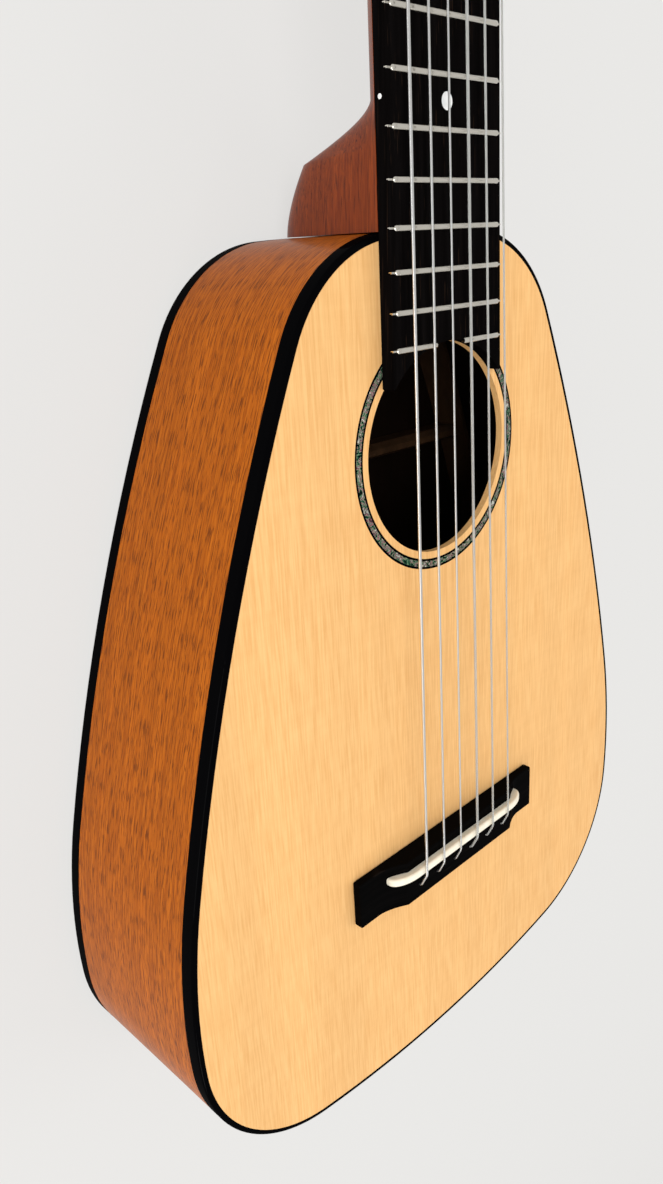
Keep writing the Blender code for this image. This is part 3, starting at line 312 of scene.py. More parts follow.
class Finish:
    """A Principled material with a few node shortcuts."""

    def __init__(
        self, name, colour, rough, metal=0.0, coat=0.0, coat_rough=0.05, specular=0.5, uv=False
    ):
        self.material = bpy.data.materials.new(name)
        self.material.use_nodes = True
        self.nodes = self.material.node_tree.nodes
        self.links = self.material.node_tree.links
        self.shader = self.nodes["Principled BSDF"]
        self.set("Base Color", colour)
        self.set("Roughness", rough)
        self.set("Metallic", metal)
        self.set("Coat Weight", coat)
        self.set("Coat Roughness", coat_rough)
        self.set("Specular IOR Level", specular)
        coords = self.nodes.new("ShaderNodeTexCoord")
        self.coords = coords.outputs["UV" if uv else "Object"]

    def set(self, socket, value):
        self.shader.inputs[socket].default_value = value

    def noise(self, scale, detail=3.0, rough=0.5, distortion=0.0, shift=(0, 0, 0)):
        """Noise with one scale per metre for each axis, or one for all three."""
        even = isinstance(scale, float)
        mapping = self.nodes.new("ShaderNodeMapping")
        mapping.inputs["Scale"].default_value = (1, 1, 1) if even else scale
        mapping.inputs["Location"].default_value = shift
        self.links.new(self.coords, mapping.inputs["Vector"])
        noise = self.nodes.new("ShaderNodeTexNoise")
        noise.inputs["Scale"].default_value = scale if even else 1.0
        noise.inputs["Detail"].default_value = detail
        noise.inputs["Roughness"].default_value = rough
        noise.inputs["Distortion"].default_value = distortion
        self.links.new(mapping.outputs["Vector"], noise.inputs["Vector"])
        return noise.outputs["Fac"]

    def ramp(self, source, stops):
        ramp = self.nodes.new("ShaderNodeValToRGB")
        elements = ramp.color_ramp.elements
        while len(elements) < len(stops):
            elements.new(0.5)
        for element, (place, colour) in zip(elements, stops):
            element.position = place
            element.color = colour
        self.links.new(source, ramp.inputs["Fac"])
        return ramp.outputs["Color"]

    def mix(self, factor, low, high, mode="MIX"):
        mix = self.nodes.new("ShaderNodeMix")
        mix.data_type = "RGBA"
        mix.blend_type = mode
        for socket, value in ((mix.inputs[0], factor), (mix.inputs[6], low), (mix.inputs[7], high)):
            if isinstance(value, bpy.types.NodeSocket):
                self.links.new(value, socket)
            else:
                socket.default_value = value
        return mix.outputs[2]

    def colour(self, source):
        self.links.new(source, self.shader.inputs["Base Color"])

    def roughness(self, source, low, high):
        remap = self.nodes.new("ShaderNodeMapRange")
        remap.inputs["To Min"].default_value = low
        remap.inputs["To Max"].default_value = high
        self.links.new(source, remap.inputs["Value"])
        self.links.new(remap.outputs["Result"], self.shader.inputs["Roughness"])

    def bump(self, source, strength, distance, coat=False):
        bump = self.nodes.new("ShaderNodeBump")
        bump.inputs["Strength"].default_value = strength
        bump.inputs["Distance"].default_value = distance
        self.links.new(source, bump.inputs["Height"])
        self.links.new(bump.outputs["Normal"], self.shader.inputs["Normal"])
        if coat:
            self.links.new(bump.outputs["Normal"], self.shader.inputs["Coat Normal"])


# Share of the noise's range between the two tones, and how bands and pores follow the streaks
TONE_LOW = 0.3
TONE_HIGH = 0.7
BAND_SCALE = 0.12
BAND_SHADE = 0.86
PORE_EDGE = 0.06
PORE_SHIFT = (7, 3, 1)


def wood(
    name, tones, along, across, pore_cut, coat, specular=0.5, uv=False, rough=0.35, fleck=(2.2, 5.0)
):
    """Wood with streaks and short pores. tones are the light, the dark and the pore colour.

    along and across are the streaks' scales per metre, and the grain runs along Y, or along U.
    fleck is how many times finer the pores are, along and across."""
    light, dark, pore = tones
    finish = Finish(name, light, rough, coat=coat, coat_rough=0.04, specular=specular, uv=uv)
    stretch = (along, across, across) if uv else (across, along, across)
    streak = finish.noise(stretch, detail=4.0, rough=0.6, distortion=0.3)
    broad = finish.noise(tuple(BAND_SCALE * s for s in stretch), detail=2.0)
    tone = finish.mix(finish.ramp(streak, ((TONE_LOW, NONE), (TONE_HIGH, FULL))), dark, light)
    bands = finish.ramp(broad, ((TONE_LOW, grey(BAND_SHADE)), (TONE_HIGH, FULL)))
    tone = finish.mix(bands, NONE, tone)
    long, wide = fleck
    finer = (long, wide, wide) if uv else (wide, long, wide)
    fine = tuple(s * k for s, k in zip(stretch, finer))
    pores = finish.noise(fine, detail=2.0, shift=PORE_SHIFT)
    mask = finish.ramp(pores, ((pore_cut, NONE), (pore_cut + PORE_EDGE, FULL)))
    finish.colour(finish.mix(mask, tone, pore))
    finish.bump(streak, strength=0.06, distance=0.00005)
    return finish


def spruce():
    """Fine straight grain, broad soft bands and a faint cross silk."""
    finish = Finish("spruce_top", srgb(246, 196, 128), 0.4, coat=0.1, coat_rough=0.03, specular=0.04)
    grain = finish.noise((1500, 2.6, 1500), rough=0.55)
    bands = finish.noise((42, 1.4, 42), detail=2.0)
    silk = finish.noise((30, 260, 30), rough=0.6)
    lines = finish.ramp(grain, ((0.34, NONE), (0.62, FULL)))
    tone = finish.mix(lines, srgb(227, 173, 109), srgb(239, 190, 127))
    tone = finish.mix(finish.ramp(bands, ((0.35, grey(0.94)), (0.62, FULL))), NONE, tone)
    shade = finish.ramp(silk, ((0.3, (0.97, 0.96, 0.945, 1.0)), (0.7, FULL)))
    finish.colour(finish.mix(1.0, tone, shade, "MULTIPLY"))
    finish.bump(grain, strength=0.05, distance=0.00003)
    return finish


def black_gloss():
    finish = Finish("black_binding_gloss", srgb(3, 3, 4), 0.25, coat=0.03, coat_rough=0.04, specular=0.0)
    finish.bump(finish.noise(620.0), strength=0.5, distance=0.00008, coat=True)
    return finish


def bone():
    finish = Finish("bone_cream", srgb(240, 232, 208), 0.35, coat=0.4, coat_rough=0.1)
    finish.colour(finish.mix(finish.noise((300, 60, 300)), srgb(250, 246, 232), srgb(234, 222, 194)))
    return finish


def white_dot():
    finish = Finish("white_dot", srgb(240, 240, 236), 0.25, coat=0.5)
    finish.colour(finish.mix(finish.noise(500.0), srgb(250, 250, 247), srgb(214, 216, 216)))
    return finish


def pearloid():
    """Cloudy cream plastic of the buttons."""
    finish = Finish("button_pearloid", srgb(236, 231, 216), 0.25, coat=0.7)
    cloud = finish.noise(260.0, detail=4.0, rough=0.6, distortion=2.0)
    finish.colour(finish.mix(cloud, srgb(246, 243, 232), srgb(200, 192, 170)))
    return finish


def nickel():
    finish = Finish("nickel", srgb(226, 221, 210), 0.18, 1.0)
    finish.roughness(finish.noise(700.0), low=0.12, high=0.28)
    return finish


def wound_string():
    """Fine turns of wire round the core."""
    finish = Finish("silver_wound", srgb(228, 228, 226), 0.32, 1.0)
    finish.bump(finish.noise((200, 3600, 200), detail=0.0), strength=0.6, distance=0.00008)
    return finish


def nylon():
    finish = Finish("clear_nylon", srgb(208, 208, 204), 0.15, coat=0.6)
    finish.set("Transmission Weight", 0.55)
    finish.set("IOR", 1.5)
    finish.bump(finish.noise(400.0, detail=1.0), strength=0.02, distance=0.00005)
    return finish


def abalone():
    """Swirls of green, pink and silver between dark lines."""
    finish = Finish("abalone", srgb(120, 140, 128), 0.25, coat=0.02, coat_rough=0.03, specular=0.0)
    swirl = finish.noise(190.0, detail=2.0, rough=0.6, distortion=3.6)
    hues = (
        (0.38, srgb(6, 12, 12)),
        (0.44, srgb(38, 82, 60)),
        (0.49, srgb(118, 140, 112)),
        (0.53, srgb(150, 92, 104)),
        (0.57, srgb(10, 18, 22)),
        (0.70, srgb(196, 196, 182)),
    )
    finish.colour(finish.ramp(swirl, hues))
    return finish


SPRUCE = spruce()
SIDE_WOOD = wood(
    "mahogany_side", (srgb(196, 106, 22), srgb(156, 76, 12), srgb(118, 58, 14)),
    along=30, across=900, pore_cut=0.53, coat=0.06, specular=0.04, uv=True, fleck=(5.0, 2.3),
)
BACK_WOOD = wood(
    "mahogany_back", (srgb(198, 106, 22), srgb(156, 73, 12), srgb(116, 57, 16)),
    along=30, across=900, pore_cut=0.53, coat=0.06, specular=0.04, fleck=(5.0, 2.3),
)
NECK_WOOD = wood(
    "neck_mahogany", (srgb(150, 66, 18), srgb(112, 42, 11), srgb(58, 22, 8)),
    along=26, across=900, pore_cut=0.57, coat=0.14, specular=0.04,
)
# Wood of the CAD parts left inside the body, such as linings and braces, darkened well below raw wood's own
# tone as painted shade
RAW_WOOD_SHADED = wood(
    "raw_wood_painted_shade", (srgb(64, 44, 28), srgb(46, 31, 19), srgb(30, 20, 12)),
    along=16, across=300, pore_cut=0.66, coat=0.0,
)
# Near-black wood for the inner faces of the back and sides: painted shade, standing in for the shadow
# inside the body
INSIDE_SHADE = wood(
    "inside_painted_shade", (srgb(20, 12, 8), srgb(14, 8, 5), srgb(8, 5, 3)),
    along=20, across=400, pore_cut=0.62, coat=0.0,
)
EBONY = wood(
    "ebony", (srgb(14, 12, 12), srgb(6, 5, 5), srgb(36, 26, 20)),
    along=10, across=420, pore_cut=0.66, coat=0.0, specular=0.0, rough=0.5,
)
# The bridge's grain runs across the body, so its two scales change places
BRIDGE_WOOD = wood(
    "ebony_bridge", (srgb(9, 8, 8), srgb(4, 4, 4), srgb(20, 16, 14)),
    along=420, across=10, pore_cut=0.68, coat=0.02, specular=0.0,
)
BLACK = black_gloss()
BONE = bone()
NICKEL = nickel()
WOUND = wound_string()
NYLON = nylon()
PEARL = white_dot()
BUTTON = pearloid()
SHELL = abalone()


def mesh_of(name, bm, smooth):
    """The mesh of bm, smooth but for edges sharper than smooth degrees."""
    bmesh.ops.recalc_face_normals(bm, faces=bm.faces)
    mesh = bpy.data.meshes.new(name)
    bm.to_mesh(mesh)
    bm.free()
    mesh.shade_smooth()
    mesh.set_sharp_from_angle(angle=math.radians(smooth))
    return mesh


def loft(name, rings, capped=True, smooth=35, uvs=None, place=BODY):
    """A skin over rings of points, capped at both ends or closed on itself.

    uvs holds a (u, v) for every point."""
    bm = bmesh.new()
    rows = [[bm.verts.new(place @ Vector(p)) for p in ring] for ring in rings]
    layer = bm.loops.layers.uv.new("UVMap") if uvs else None
    count = len(rows[0])
    spans = [(k, k + 1) for k in range(len(rows) - 1)]
    if not capped:
        spans.append((len(rows) - 1, 0))
    for low, high in spans:
        for i in range(count):
            j = (i + 1) % count
            face = bm.faces.new((rows[low][i], rows[low][j], rows[high][j], rows[high][i]))
            if layer:
                for corner, (k, n) in zip(face.loops, ((low, i), (low, j), (high, j), (high, i))):
                    corner[layer].uv = uvs[k][n]
    if capped:
        bm.faces.new(list(reversed(rows[0])))
        bm.faces.new(rows[-1])
    return mesh_of(name, bm, smooth)


def piece(name, data, finish, body=ROOT, replaces=()):
    """Put a mesh or curve in the scene as a piece that rides on a body."""
    obj = bpy.data.objects.new(name, data)
    bpy.context.scene.collection.objects.link(obj)
    obj.data.materials.append(finish.material)
    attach(obj, body)
    if replaces:
        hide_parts(*replaces)
    return obj


def bevel(obj, width, segments=3, angle=35):
    modifier = obj.modifiers.new("edges", "BEVEL")
    modifier.width = width
    modifier.segments = segments
    modifier.limit_method = "ANGLE"
    modifier.angle_limit = math.radians(angle)
    modifier.harden_normals = True


def circle(radius, count):
    angles = [2.0 * math.pi * i / count for i in range(count)]
    return [(radius * math.cos(a), radius * math.sin(a)) for a in angles]


def lathe(name, profile, finish, body=ROOT, spot=(0, 0, 0), place=HEAD, sides=ROUND_SIDES):
    """A turned piece along Z: profile is a list of (radius, height over the spot)."""
    x, y, z = spot
    rings = []
    for radius, height in profile:
        points = circle(max(radius, TURNED_TIP), sides)
        rings.append([(u + x, v + y, height + z) for u, v in points])
    return piece(name, loft(name, rings, place=place), finish, body)


def outline_arcs():
    """Centre, radius and start and end heading of the arcs down the treble half of the outline."""
    arcs = []
    spot = Vector((0.0, BODY_TOP))
    heading = 0.0
    for radius, degrees in OUTLINE_ARCS:
        centre = spot - radius * Vector((math.sin(heading), math.cos(heading)))
        end = heading + math.radians(degrees)
        arcs.append((centre, radius, heading, end))
        spot = centre + radius * Vector((math.sin(end), math.cos(end)))
        heading = end
    radius = spot.x / math.sin(heading)
    centre = spot - radius * Vector((math.sin(heading), math.cos(heading)))
    arcs.append((centre, radius, heading, math.pi))
    return arcs


ARCS = outline_arcs()


def half_outline(inset):
    """Points of the treble half from the neck joint to the tail, inset metres inside the outline."""
    points = []
    for index, (centre, radius, start, end) in enumerate(ARCS):
        step = 2.0 * math.acos(1.0 - OUTLINE_TOLERANCE / radius)
        steps = max(2, math.ceil((end - start) / step))
        last = index == len(ARCS) - 1
        for i in range(steps + 1 if last else steps):
            a = start + (end - start) * i / steps
            r = radius - inset
            points.append((centre.x + r * math.sin(a), centre.y + r * math.cos(a)))
    points[0] = (0.0, points[0][1])
    points[-1] = (0.0, points[-1][1])
    return points


def outline(inset):
    right = half_outline(inset)
    return right + [(-x, y) for x, y in reversed(right[1:-1])]


def back_z(y):
    """Height of the back's outer face, which slopes away from the soundboard's plane."""
    return -(NECK_END_DEPTH + math.tan(SLOPE) * (BODY_TOP - y))


def plate(name, top, bottom, hole=None):
    """A flat plate of the body's outline, with a round hole if hole is a radius."""
    bm = bmesh.new()
    loops = [outline(PLATE_INSET)]
    if hole:
        loops.append([(x, HOLE_Y + y) for x, y in circle(hole, HOLE_SIDES)])
    edges = []
    for points in loops:
        verts = [bm.verts.new((x, y, 0.0)) for x, y in points]
        edges += [bm.edges.new((a, b)) for a, b in zip(verts, verts[1:] + verts[:1])]
    bmesh.ops.triangle_fill(bm, use_beauty=True, use_dissolve=False, edges=edges)
    extruded = bmesh.ops.extrude_face_region(bm, geom=list(bm.faces))
    lower = {v for v in extruded["geom"] if isinstance(v, bmesh.types.BMVert)}
    for v in bm.verts:
        v.co.z = bottom(v.co.y) if v in lower else top(v.co.y)
        v.co = BODY @ v.co
    return mesh_of(name, bm, 30)


def shade_inside(obj, is_inner):
    """Give the faces that look into the body a near-black wood: painted shade for the dark inside of the
    body.
    """
    obj.data.materials.append(INSIDE_SHADE.material)
    for face in obj.data.polygons:
        face.material_index = 1 if is_inner(face) else 0


def build_plates():
    board = plate("spruce_soundboard", lambda y: 0.0, lambda y: -TOP_THICKNESS, SOUNDHOLE_RADIUS)
    piece("spruce_soundboard", board, SPRUCE, replaces=("soundboard",))
    mesh = plate("mahogany_back", lambda y: back_z(y) + BACK_THICKNESS, back_z)
    back = piece("mahogany_back", mesh, BACK_WOOD, replaces=("back",))
    shade_inside(back, lambda face: face.normal.z > 0.5)


def build_binding(label, height):
    """A strip along one edge; height turns a y and a depth from the face into a z."""
    turns = [math.pi / 2.0 * (1.0 - share) for share in shares(BINDING_STEPS)]
    section = [(BINDING_WIDTH, BINDING_HEIGHT), (0.0, BINDING_HEIGHT)]
    section += [(BINDING_ROUND * (1.0 - math.sin(a)), BINDING_ROUND * (1.0 - math.cos(a))) for a in turns]
    section.append((BINDING_WIDTH, 0.0))
    rings = [[(x, y, height(y, depth)) for x, y in outline(inset)] for inset, depth in section]
    name = f"gloss_binding_{label}"
    mesh = loft(name, rings, capped=False, smooth=50)
    piece(name, mesh, BLACK, replaces=(f"binding_{label}",))


def build_side(label, side):
    """One bent side. U runs along its bend, so that the grain follows it."""
    outer = half_outline(SIDE_INSET)
    inner = half_outline(SIDE_THICKNESS)
    lengths = [0.0]
    for a, b in zip(outer, outer[1:]):
        lengths.append(lengths[-1] + (Vector(a) - Vector(b)).length)
    rings, uvs = [], []
    for (a, b), (c, d), run in zip(outer, inner, lengths):
        foot = back_z(b) + SIDE_EDGE
        rings.append(
            [(side * a, b, -SIDE_EDGE), (side * c, d, -SIDE_EDGE), (side * c, d, foot), (side * a, b, foot)]
        )
        uvs.append([(run, 0.0), (run, SIDE_THICKNESS), (run, foot), (run, foot)])
    name = f"mahogany_side_{label}"
    mesh = loft(name, rings, smooth=40, uvs=uvs)
    shell = piece(name, mesh, SIDE_WOOD, replaces=(f"side_{label}",))
    shade_inside(shell, lambda face: face.index % SIDE_RING_POINTS == 1)


def build_rosette():
    """A shell ring between two black lines."""
    inner = SOUNDHOLE_RADIUS + ROSETTE_INSET
    outer = inner + ROSETTE_WIDTH
    shell_in = inner + ROSETTE_LINE
    shell_out = outer - ROSETTE_LINE
    for name, low, high, finish, slot, stands_for in (
        ("rosette_inner_line", inner, shell_in, BLACK, "black_binding", ()),
        ("rosette_abalone", shell_in, shell_out, SHELL, "rosette_shell", ("rosette",)),
        ("rosette_outer_line", shell_out, outer, BLACK, "black_binding", ()),
    ):
        under, over = -ROSETTE_DEPTH, ROSETTE_PROUD
        section = ((low, under), (high, under), (high, over), (low, over))
        loops = [[(x, HOLE_Y + y, z) for x, y in circle(r, HOLE_SIDES)] for r, z in section]
        mesh = loft(name, loops, capped=False, smooth=30)
        piece(name, mesh, finish, replaces=stands_for)


def build_body():
    build_plates()
    build_binding("front", lambda y, depth: -depth)
    build_binding("back", lambda y, depth: back_z(y) + depth)
    build_side("bass", -1)
    build_side("treble", 1)
    build_rosette()


def board_half(y):
    """Half the fingerboard's width, which tapers from the body joint to the nut."""
    return (NUT_WIDTH + (JOINT_WIDTH - NUT_WIDTH) * (SCALE - y) / (SCALE - BODY_TOP)) / 2.0


def neck_ring(y, top, depth, back_half=NECK_BACK_HALF, roundness=NECK_ROUNDNESS):
    """A section of the neck: flat under the board and rounded down to its depth."""
    wide = board_half(y)
    right = []
    for turn in shares(NECK_SIDES)[:-1]:
        share = math.sin(math.pi / 2.0 * turn)
        width = wide + (back_half - wide) * share
        right.append((width * math.sqrt(1.0 - share**roundness), y, top - depth * share))
    return right + [(0.0, y, top - depth)] + [(-x, b, z) for x, b, z in reversed(right)]


def heel_depth(run):
    """Depth of the neck, run metres from the body: the heel's cap, then its sweep to the shaft."""
    full = NECK_END_DEPTH - HEEL_ABOVE_BACK
    if run <= HEEL_CAP_LENGTH:
        return full - HEEL_TOE_RISE * (run / HEEL_CAP_LENGTH) ** HEEL_CAP_CURVE
    toe = full - HEEL_TOE_RISE
    share = min((run - HEEL_CAP_LENGTH) / (HEEL_LENGTH - HEEL_CAP_LENGTH), 1.0)
    return NECK_DEPTH_AT_HEEL + (toe - NECK_DEPTH_AT_HEEL) * (1.0 - share) ** HEEL_SWEEP_CURVE


def heel_rings():
    """Sections from the body to the heel's end; the first follows the body's rounded top."""
    sweep = HEEL_LENGTH - HEEL_CAP_LENGTH
    runs = [HEEL_CAP_LENGTH * share for share in shares(HEEL_CAP_STEPS)]
    runs += [HEEL_CAP_LENGTH + sweep * share for share in shares(HEEL_SWEEP_STEPS)[1:]]
    rings = []
    for run in runs:
        depth = heel_depth(run)
        share = (depth - NECK_DEPTH_AT_HEEL) / (heel_depth(0.0) - NECK_DEPTH_AT_HEEL)
        squared = min(1.0, HEEL_SQUARE_RATE * share)
        back_half = NECK_BACK_HALF - HEEL_NARROWING * squared
        roundness = NECK_ROUNDNESS + HEEL_SQUARENESS * squared**HEEL_SQUARE_CURVE
        rings.append(neck_ring(BODY_TOP + run, 0.0, depth, back_half, roundness))
    centre = BODY_TOP + SEAT_GAP - TOP_RADIUS
    rings[0] = [(x, centre + math.sqrt(TOP_RADIUS**2 - x * x), z) for x, _, z in rings[0]]
    return rings


def shaft_rings():
    """Sections from the heel to the end of the nut."""
    heel_end = BODY_TOP + HEEL_LENGTH
    rings = []
    for share in shares(NECK_STEPS)[1:]:
        depth = NECK_DEPTH_AT_HEEL - (NECK_DEPTH_AT_HEEL - NECK_DEPTH_AT_NUT) * share
        rings.append(neck_ring(heel_end + (SCALE - heel_end) * share, 0.0, depth))
    rings.append(neck_ring(NUT_END, 0.0, NECK_DEPTH_AT_NUT))
    return rings


def volute_rings():
    """Sections that lead the shaft into the back of the leaning headstock."""
    rings = []
    for share in shares(NECK_STEPS)[1:]:
        run = VOLUTE_LENGTH * share
        face = -run * math.tan(HEAD_ANGLE)
        head_back = face - HEAD_THICKNESS / math.cos(HEAD_ANGLE)
        low = -NECK_DEPTH_AT_NUT + (head_back + VOLUTE_END_RISE + NECK_DEPTH_AT_NUT) * share
        top = face - VOLUTE_TOP_GAP
        ring = neck_ring(NUT_END, top, top - low)
        rings.append([(x, NUT_END + run, z) for x, _, z in ring])
    return rings


def build_neck():
    rings = heel_rings() + shaft_rings() + volute_rings()
    neck = loft("neck_and_heel", rings, smooth=40)
    piece("neck_and_heel", neck, NECK_WOOD, replaces=("neck",))
    mesh = head_prism("headstock", HEAD_START, -HEAD_THICKNESS, 0.0)
    bevel(piece("headstock", mesh, NECK_WOOD, replaces=("neck",)), HEAD_EDGE)
    mesh = head_prism("headstock_face", VENEER_START, VENEER_LIFT, VENEER_TOP)
    bevel(piece("headstock_face", mesh, EBONY, replaces=("headstock_veneer",)), VENEER_EDGE, 2)


def head_half(y):
    """Half the headstock's width: a smooth shoulder, then straight to the tip."""
    if y < SHOULDER_LENGTH:
        share = y / SHOULDER_LENGTH
        swell = HEAD_HALF_AT_SHOULDER - HEAD_HALF_AT_NUT
        return HEAD_HALF_AT_NUT + swell * share * share * (3.0 - 2.0 * share)
    spread = HEAD_HALF_AT_TIP - HEAD_HALF_AT_SHOULDER
    return HEAD_HALF_AT_SHOULDER + spread * (y - SHOULDER_LENGTH) / (HEAD_LENGTH - SHOULDER_LENGTH)


def head_prism(name, start, low, high):
    """A slab of the headstock's outline, from y = start and between two heights."""
    right = []
    for share in shares(HEAD_STEPS):
        y = start + (SHOULDER_LENGTH - start) * share
        right.append((head_half(y), y))
    corner_y = HEAD_LENGTH - HEAD_CROWN - HEAD_CORNER
    tip = head_half(corner_y)
    for share in shares(HEAD_STEPS):
        a = math.pi / 2.0 * share
        right.append((tip - HEAD_CORNER * (1.0 - math.cos(a)), corner_y + HEAD_CORNER * math.sin(a)))
    for share in reversed(shares(HEAD_STEPS)[1:-1]):
        right.append(((tip - HEAD_CORNER) * share, HEAD_LENGTH - HEAD_CROWN * share**2))
    points = right + [(0.0, HEAD_LENGTH)] + [(-x, y) for x, y in reversed(right)]
    return loft(name, [[(x, y, z) for x, y in points] for z in (low, high)], place=HEAD, smooth=30)


def build_board():
    """The fingerboard, whose end follows the soundhole between two horns."""
    half = board_half(fret_y(FRET_COUNT)) - HORN_TIP_WIDTH
    end = HOLE_Y + math.sqrt(SOUNDHOLE_RADIUS**2 - half**2)
    scoop = []
    for share in shares(HORN_STEPS):
        x = half * (2.0 * share - 1.0)
        scoop.append((x, HOLE_Y + math.sqrt(SOUNDHOLE_RADIUS**2 - x * x)))
    points = [(-board_half(end), end)] + scoop + [(board_half(end), end)]
    points += [(board_half(SCALE), SCALE), (-board_half(SCALE), SCALE)]
    mesh = loft("ebony_board", [[(x, y, z) for x, y in points] for z in (0.0, BOARD_TOP)], smooth=30)
    bevel(piece("ebony_board", mesh, EBONY, replaces=("fretboard",)), BOARD_EDGE, 2, 50)


def build_frets():
    """The last fret is in two pieces, because the scoop cuts it."""
    for number in range(1, FRET_COUNT):
        y = fret_y(number)
        add_fret(f"fret_{number:02d}", y, -board_half(y), board_half(y))
    y = fret_y(FRET_COUNT)
    inner = math.sqrt(SOUNDHOLE_RADIUS**2 - (y - HOLE_Y) ** 2)
    add_fret(f"fret_{FRET_COUNT}_bass", y, -board_half(y), -inner)
    add_fret(f"fret_{FRET_COUNT}_treble", y, inner, board_half(y))


def add_fret(name, y, start, end):
    """A fret from x = start to x = end. At the board's edges its tang shows past a rounded crown."""
    stations = []
    for edge, way in ((start, 1), (end, -1)):
        if abs(edge) > BOARD_EDGE_REACH:
            run = [(0.0, TANG_END_HALF, TANG_END_HEIGHT), (CROWN_INSET, TANG_END_HALF, TANG_END_HEIGHT)]
            for s, w, h in CROWN_END:
                run.append((CROWN_INSET + CROWN_END_LENGTH * s, CROWN_HALF * w, CROWN_HEIGHT * h))
        else:
            run = [(s, CROWN_HALF * w, CROWN_HEIGHT * h) for s, w, h in CROWN_CUT]
        part = [(edge + way * s, w, h) for s, w, h in run]
        stations += part if way > 0 else part[::-1]
    angles = [math.pi * share for share in shares(CROWN_SIDES)]
    foot = BOARD_TOP - TANG_DEPTH
    rings = []
    for x, half, height in stations:
        ring = [(x, y - half * math.cos(a), BOARD_TOP + height * math.sin(a)) for a in angles]
        rings.append(ring + [(x, y + TANG_HALF, foot), (x, y - TANG_HALF, foot)])
    piece(f"{name}_wire", loft(name, rings, smooth=40), NICKEL, replaces=(name,))


def add_dot(name, spot, radius, axis):
    turn = Vector((0, 0, 1)).rotation_difference(Vector(axis)).to_matrix().to_4x4()
    place = BODY @ Matrix.Translation(spot) @ turn
    profile = ((radius, -DOT_DEPTH), (radius, DOT_PROUD), (0.0, 2.0 * DOT_PROUD))
    lathe(name, profile, PEARL, place=place)


def build_dots():
    add_dot("position_dot", (0.0, DOT_Y, BOARD_TOP), DOT_RADIUS, (0, 0, 1))
    spot = (-board_half(DOT_Y), DOT_Y, SIDE_DOT_HEIGHT)
    add_dot("side_dot", spot, SIDE_DOT_RADIUS, (-1, 0, 0))


def build_nut():
    profile = [(-NUT_HALF, 0.0), (NUT_HALF, 0.0), (NUT_HALF, NUT_END_HEIGHT)]
    for share in shares(NUT_STEPS):
        x = NUT_HALF * (1.0 - 2.0 * share)
        profile.append((x, NUT_FLOOR + NUT_CROWN * (1.0 - (x / NUT_HALF) ** 2)))
    profile.append((-NUT_HALF, NUT_END_HEIGHT))
    rings = [[(x, y, z) for x, z in profile] for y in (SCALE + NUT_FRONT_GAP, NUT_END)]
    bevel(piece("bone_nut", loft("bone_nut", rings), BONE, replaces=("nut",)), NUT_EDGE)


def across_body(half_profile, start, end):
    """Rings of a mirrored profile in X and Z, at two places along Y."""
    profile = half_profile + [(-x, z) for x, z in reversed(half_profile)]
    return [[(x, y, z) for x, z in profile] for y in (start, end)]


def build_bridge():
    """Thin wings sweep up to the raised middle, which holds the saddle."""
    right = [(BRIDGE_HALF, 0.0), (BRIDGE_HALF, WING_HEIGHT)]
    for share in shares(RAMP_STEPS):
        height = WING_HEIGHT + (BLOCK_HEIGHT - WING_HEIGHT) * share**RAMP_CURVE
        right.append((RAMP_START - RAMP_LENGTH * share, height))
    mesh = loft("ebony_bridge", across_body(right, BRIDGE_TAIL, BRIDGE_FRONT), smooth=25)
    bevel(piece("ebony_bridge", mesh, BRIDGE_WOOD, replaces=("bridge",)), BRIDGE_EDGE, 3, 40)


def build_saddle():
    right = [(SADDLE_HALF, SADDLE_SEAT)]
    for share in shares(SADDLE_STEPS):
        a = math.pi / 2.0 * share
        x = SADDLE_FLAT_HALF + (SADDLE_HALF - SADDLE_FLAT_HALF) * math.cos(a)
        right.append((x, SADDLE_END_TOP + (SADDLE_TOP - SADDLE_END_TOP) * math.sin(a)))
    mesh = loft("bone_saddle", across_body(right, SADDLE_TAIL, SADDLE_FRONT))
    bevel(piece("bone_saddle", mesh, BONE, replaces=("saddle",)), SADDLE_EDGE, 4, 50)


def string_x(index, spread):
    return spread * (index / (len(STRING_DIAMETERS) - 1.0) - 0.5)


def knot_and_bridge(x, radius):
    """Points and radius shares of a string from its knot under the patch to the saddle."""
    foot = PATCH_BOTTOM - SEAT_GAP - 2.0 * KNOT_RADIUS
    over = SADDLE_TOP + SEAT_GAP + radius
    swell = KNOT_RADIUS / radius
    route = [((x, STRING_HOLE_Y, foot + rise), share * swell) for rise, share in KNOT_PROFILE]
    route.append(((x, STRING_HOLE_Y, foot + KNOT_TOP), 1.0))
    route += [((x, STRING_HOLE_Y + ahead, height), 1.0) for ahead, height in HOLE_BEND]
    route += [((x, y, over + rise), 1.0) for y, rise in SADDLE_BREAK]
    return route


def winding(index, diameter, leaving):
    """Points from the nut round the string's post, in the instrument's axes."""
    start = TO_HEAD.inverted() @ leaving
    side = -1 if index < STRINGS_PER_SIDE else 1
    row = index if side < 0 else len(STRING_DIAMETERS) - 1 - index
    px, py = side * POST_X, POST_YS[row]
    reach = (POST_RADIUS + SEAT_GAP + diameter / 2.0) / math.cos(math.pi / POST_SIDES)
    away = Vector((start.x - px, start.y - py))
    turn = -side
    first = math.atan2(away.y, away.x) + turn * math.acos(reach / away.length)
    base = VENEER_TOP + LOOP_START_HEIGHT
    points = []
    for i in range(int(STRING_LOOPS * LOOP_STEPS) + 1):
        a = first + turn * 2.0 * math.pi * i / LOOP_STEPS
        height = base + (diameter + LOOP_SPACE) * i / LOOP_STEPS
        points.append(Vector((px + reach * math.cos(a), py + reach * math.sin(a), height)))
    tangent = turn * Vector((-math.sin(a), math.cos(a), 0.0))
    points.append(points[-1] + STRING_TAIL * tangent)
    return [tuple(TO_HEAD @ point) for point in points]


